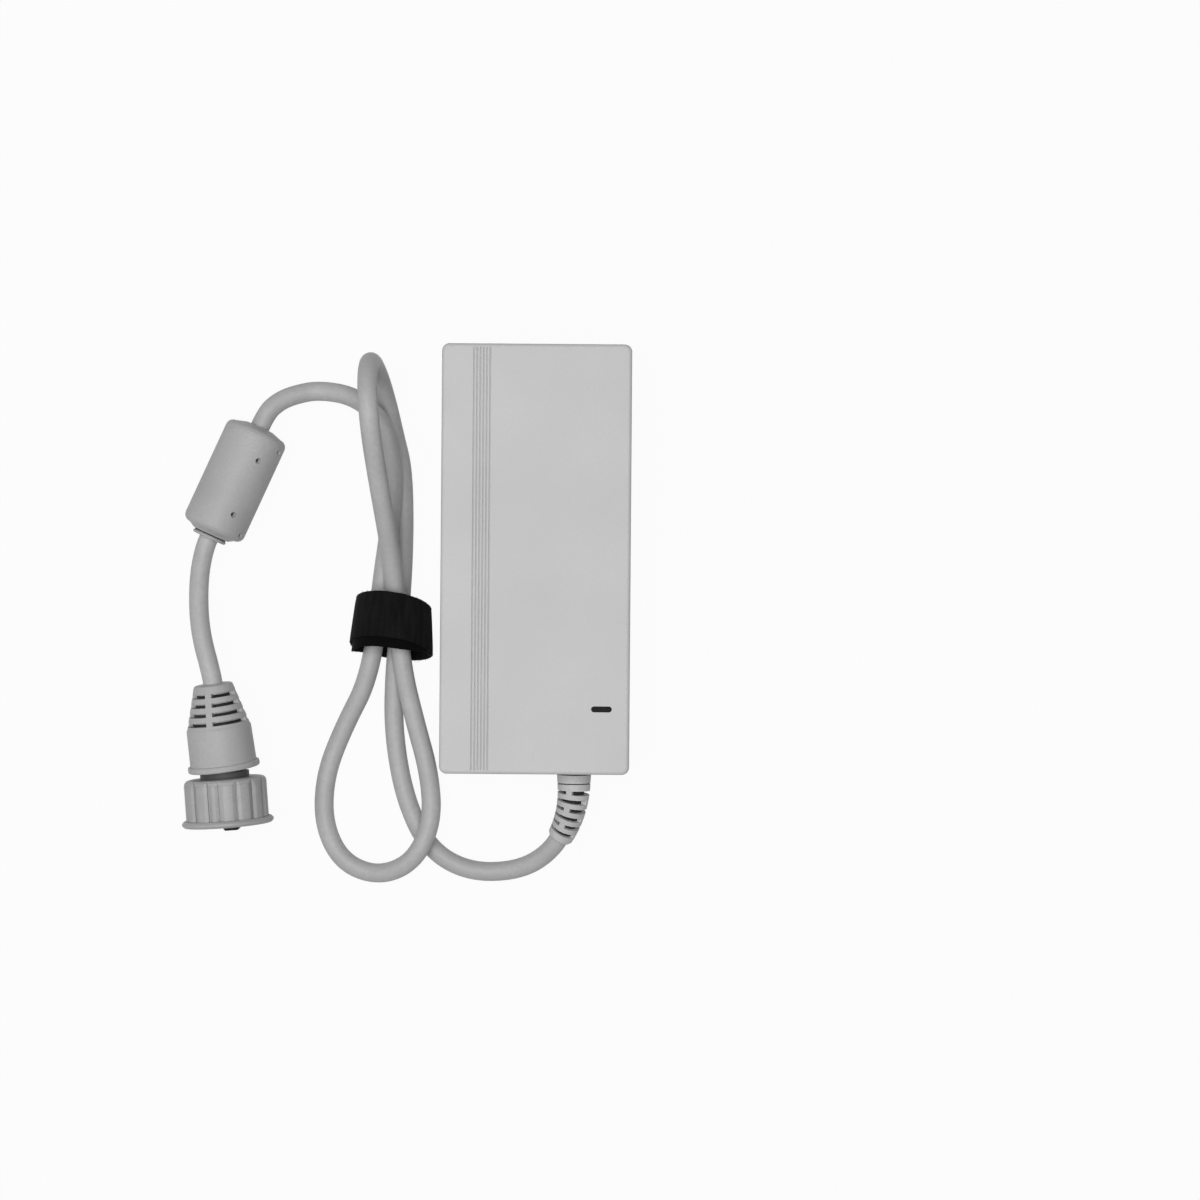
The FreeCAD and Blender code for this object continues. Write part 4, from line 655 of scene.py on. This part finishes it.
def makeCaseSeamShadow():
    # painted shadow: a dark strip along the joint between the two shells, round the case from one side of the mains
    # inlet to the other
    look = shadeSheets["caseSeamShadow"]
    right, far, radius = look["halfWidthMm"], look["halfLengthMm"], look["cornerMm"]
    corners = ((right, far, 90), (right, -far, 0), (-right, -far, -90), (-right, far, -180))
    path = [(look["inletMm"], far)]
    for x, y, startDeg in corners:
        for i in range(look["cornerSteps"] + 1):
            turn = math.radians(startDeg - 90 * i / look["cornerSteps"])
            path.append((x - math.copysign(radius, x) + radius * math.cos(turn),
                         y - math.copysign(radius, y) + radius * math.sin(turn)))
    path.append((-look["inletMm"], far))
    points = [(x * mm, y * mm, z * mm) for x, y in path for z in look["heightsMm"]]
    faces = [(2 * i, 2 * i + 2, 2 * i + 3, 2 * i + 1) for i in range(len(path) - 1)]
    mesh = bpy.data.meshes.new("caseSeamShadow")
    mesh.from_pydata(points, [], faces)
    piece = linkIn(bpy.data.objects.new("caseSeamShadow", mesh))
    dress(piece, finish["paintedShadePvc"])
    return piece


caseSeamShadow = makeCaseSeamShadow()
shadePieces = [reliefShadeSheet, bootShadeSheet, beadShadeSheet, caseSeamShadow]
print("slots, seams and dimples lined")


# thread inside the coupling nut
thread = {"boreRadius": 11.6 * mm, "from": 2.0 * mm, "pitch": 1.5 * mm, "turns": 7, "stepsPerTurn": 72, "crest": 0.8 * mm}


def threadTree():
    # a triangular ridge that climbs round the bore
    tree = bpy.data.node_groups.new("insideThread", "GeometryNodeTree")
    for title, kind in (("Geometry", "NodeSocketGeometry"), ("Radius", "NodeSocketFloat"), ("Pitch", "NodeSocketFloat"),
                        ("Turns", "NodeSocketFloat"), ("Crest", "NodeSocketFloat"), ("Material", "NodeSocketMaterial")):
        tree.interface.new_socket(title, in_out="INPUT", socket_type=kind)
    tree.interface.new_socket("Geometry", in_out="OUTPUT", socket_type="NodeSocketGeometry")
    given = addNode(tree, "NodeGroupInput")
    rise = addNode(tree, "ShaderNodeMath", {0: given.outputs["Pitch"], 1: given.outputs["Turns"]}, operation="MULTIPLY")
    helix = addNode(tree, "GeometryNodeCurveSpiral",
                    {"Resolution": thread["stepsPerTurn"], "Rotations": given.outputs["Turns"],
                     "Start Radius": given.outputs["Radius"],
                     "End Radius": given.outputs["Radius"], "Height": rise.outputs[0]})
    profile = addNode(tree, "GeometryNodeCurvePrimitiveCircle", {"Resolution": 3, "Radius": given.outputs["Crest"]})
    ridge = addNode(tree, "GeometryNodeCurveToMesh",
                    {"Curve": helix.outputs[0], "Profile Curve": profile.outputs[0], "Fill Caps": True})
    real = addNode(tree, "GeometryNodeRealizeInstances", {"Geometry": ridge.outputs[0]})
    coloured = addNode(tree, "GeometryNodeSetMaterial",
                       {"Geometry": real.outputs[0], "Material": given.outputs["Material"]})
    addNode(tree, "NodeGroupOutput", {"Geometry": coloured.outputs[0]})
    return tree


def cutThread():
    mesh = bpy.data.meshes.new("nutThread")
    mesh.from_pydata([(0, 0, 0)], [], [])
    piece = linkIn(bpy.data.objects.new("nutThread", mesh))
    runTree(piece, threadTree(),
            {"Radius": thread["boreRadius"], "Pitch": thread["pitch"], "Turns": float(thread["turns"]),
             "Crest": thread["crest"], "Material": finish["nutNylon"]})
    heading = math.radians(nutAxis["headingDeg"])
    forward = Vector((math.sin(heading), -math.cos(heading), 0))
    turned = forward.to_track_quat("Z", "Y").to_matrix().to_4x4()
    centre = Vector([v * mm for v in nutAxis["centreMm"]])
    piece.data.transform(Matrix.Translation(centre + forward * thread["from"]) @ turned)
    return piece


nutThread = cutThread()
print("thread cut in the nut")


# light: a soft box overhead, towards the far left, a weaker one at the left side, and a pale room
light = {
    "overhead": {"watts": 8.1, "size": 0.7, "place": (-0.10, 0.0, 1.05)},
    "side": {"watts": 0.7, "size": 0.6, "place": (-0.75, -0.2, 0.6)},
    "room": 0.2,
    "backdrop": 0.965,
}


def softBox(name, look):
    data = bpy.data.lights.new(name, "AREA")
    data.shape = "SQUARE"
    data.size = look["size"]
    data.energy = look["watts"]
    lamp = linkIn(bpy.data.objects.new(name, data))
    lamp.location = look["place"]
    lamp.rotation_euler = (-Vector(look["place"])).to_track_quat("-Z", "Y").to_euler()


for name in ("overhead", "side"):
    softBox(name + "Box", light[name])
world = bpy.data.worlds.new("paleRoom")
bpy.context.scene.world = world
world.use_nodes = True
world.node_tree.nodes.clear()


def seenDirectly(tree):
    # 1 for rays from the camera, a mirror or a pane, which should meet the white backdrop
    path = addNode(tree, "ShaderNodeLightPath")
    first = addNode(tree, "ShaderNodeMath",
                    {0: path.outputs["Is Camera Ray"], 1: path.outputs["Is Glossy Ray"]}, operation="MAXIMUM")
    return addNode(tree, "ShaderNodeMath",
                   {0: first.outputs[0], 1: path.outputs["Is Transmission Ray"]}, operation="MAXIMUM").outputs[0]


room = world.node_tree
backdrop = addNode(room, "ShaderNodeBackground", {"Color": (1, 1, 1, 1), "Strength": light["backdrop"]})
ambient = addNode(room, "ShaderNodeBackground", {"Color": (1, 1, 1, 1), "Strength": light["room"]})
roomMix = addNode(room, "ShaderNodeMixShader", {0: seenDirectly(room), 1: ambient.outputs[0], 2: backdrop.outputs[0]})
addNode(room, "ShaderNodeOutputWorld", {"Surface": roomMix.outputs[0]})

floorLook = {"size": 3.0, "below": 0.05 * mm, "whiteShare": 0.95, "card": "#C4C4C4"}


def makeFloor():
    half, z = floorLook["size"] / 2, -floorLook["below"]
    mesh = bpy.data.meshes.new("floor")
    mesh.from_pydata([(-half, -half, z), (half, -half, z), (half, half, z), (-half, half, z)], [], [(0, 1, 2, 3)])
    floor = linkIn(bpy.data.objects.new("floor", mesh))
    material = bpy.data.materials.new("whiteCard")  # matt white card that keeps a faint shadow
    material.use_nodes = True
    tree = material.node_tree
    tree.nodes.clear()
    card = addNode(tree, "ShaderNodeBsdfDiffuse", {"Color": toLinear(floorLook["card"])})
    glow = addNode(tree, "ShaderNodeEmission", {"Color": (1, 1, 1, 1), "Strength": 1.0})
    share = addNode(tree, "ShaderNodeMath", {0: seenDirectly(tree), 1: floorLook["whiteShare"]}, operation="MULTIPLY")
    mix = addNode(tree, "ShaderNodeMixShader", {0: share.outputs[0], 1: card.outputs[0], 2: glow.outputs[0]})
    addNode(tree, "ShaderNodeOutputMaterial", {"Surface": mix.outputs[0]})
    dress(floor, material)


makeFloor()
bpy.context.scene.view_settings.view_transform = "Standard"
print("floor and light set")


# what moves with what
for piece in [mainLead, tailLead, strapPiece, fibres] + shadePieces:
    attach(piece, "supply")
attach(nutThread, "coupling_nut")
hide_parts("output_lead")
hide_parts("output_lead_tail")
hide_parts("lead_strap")

bpy.context.view_layer.update()
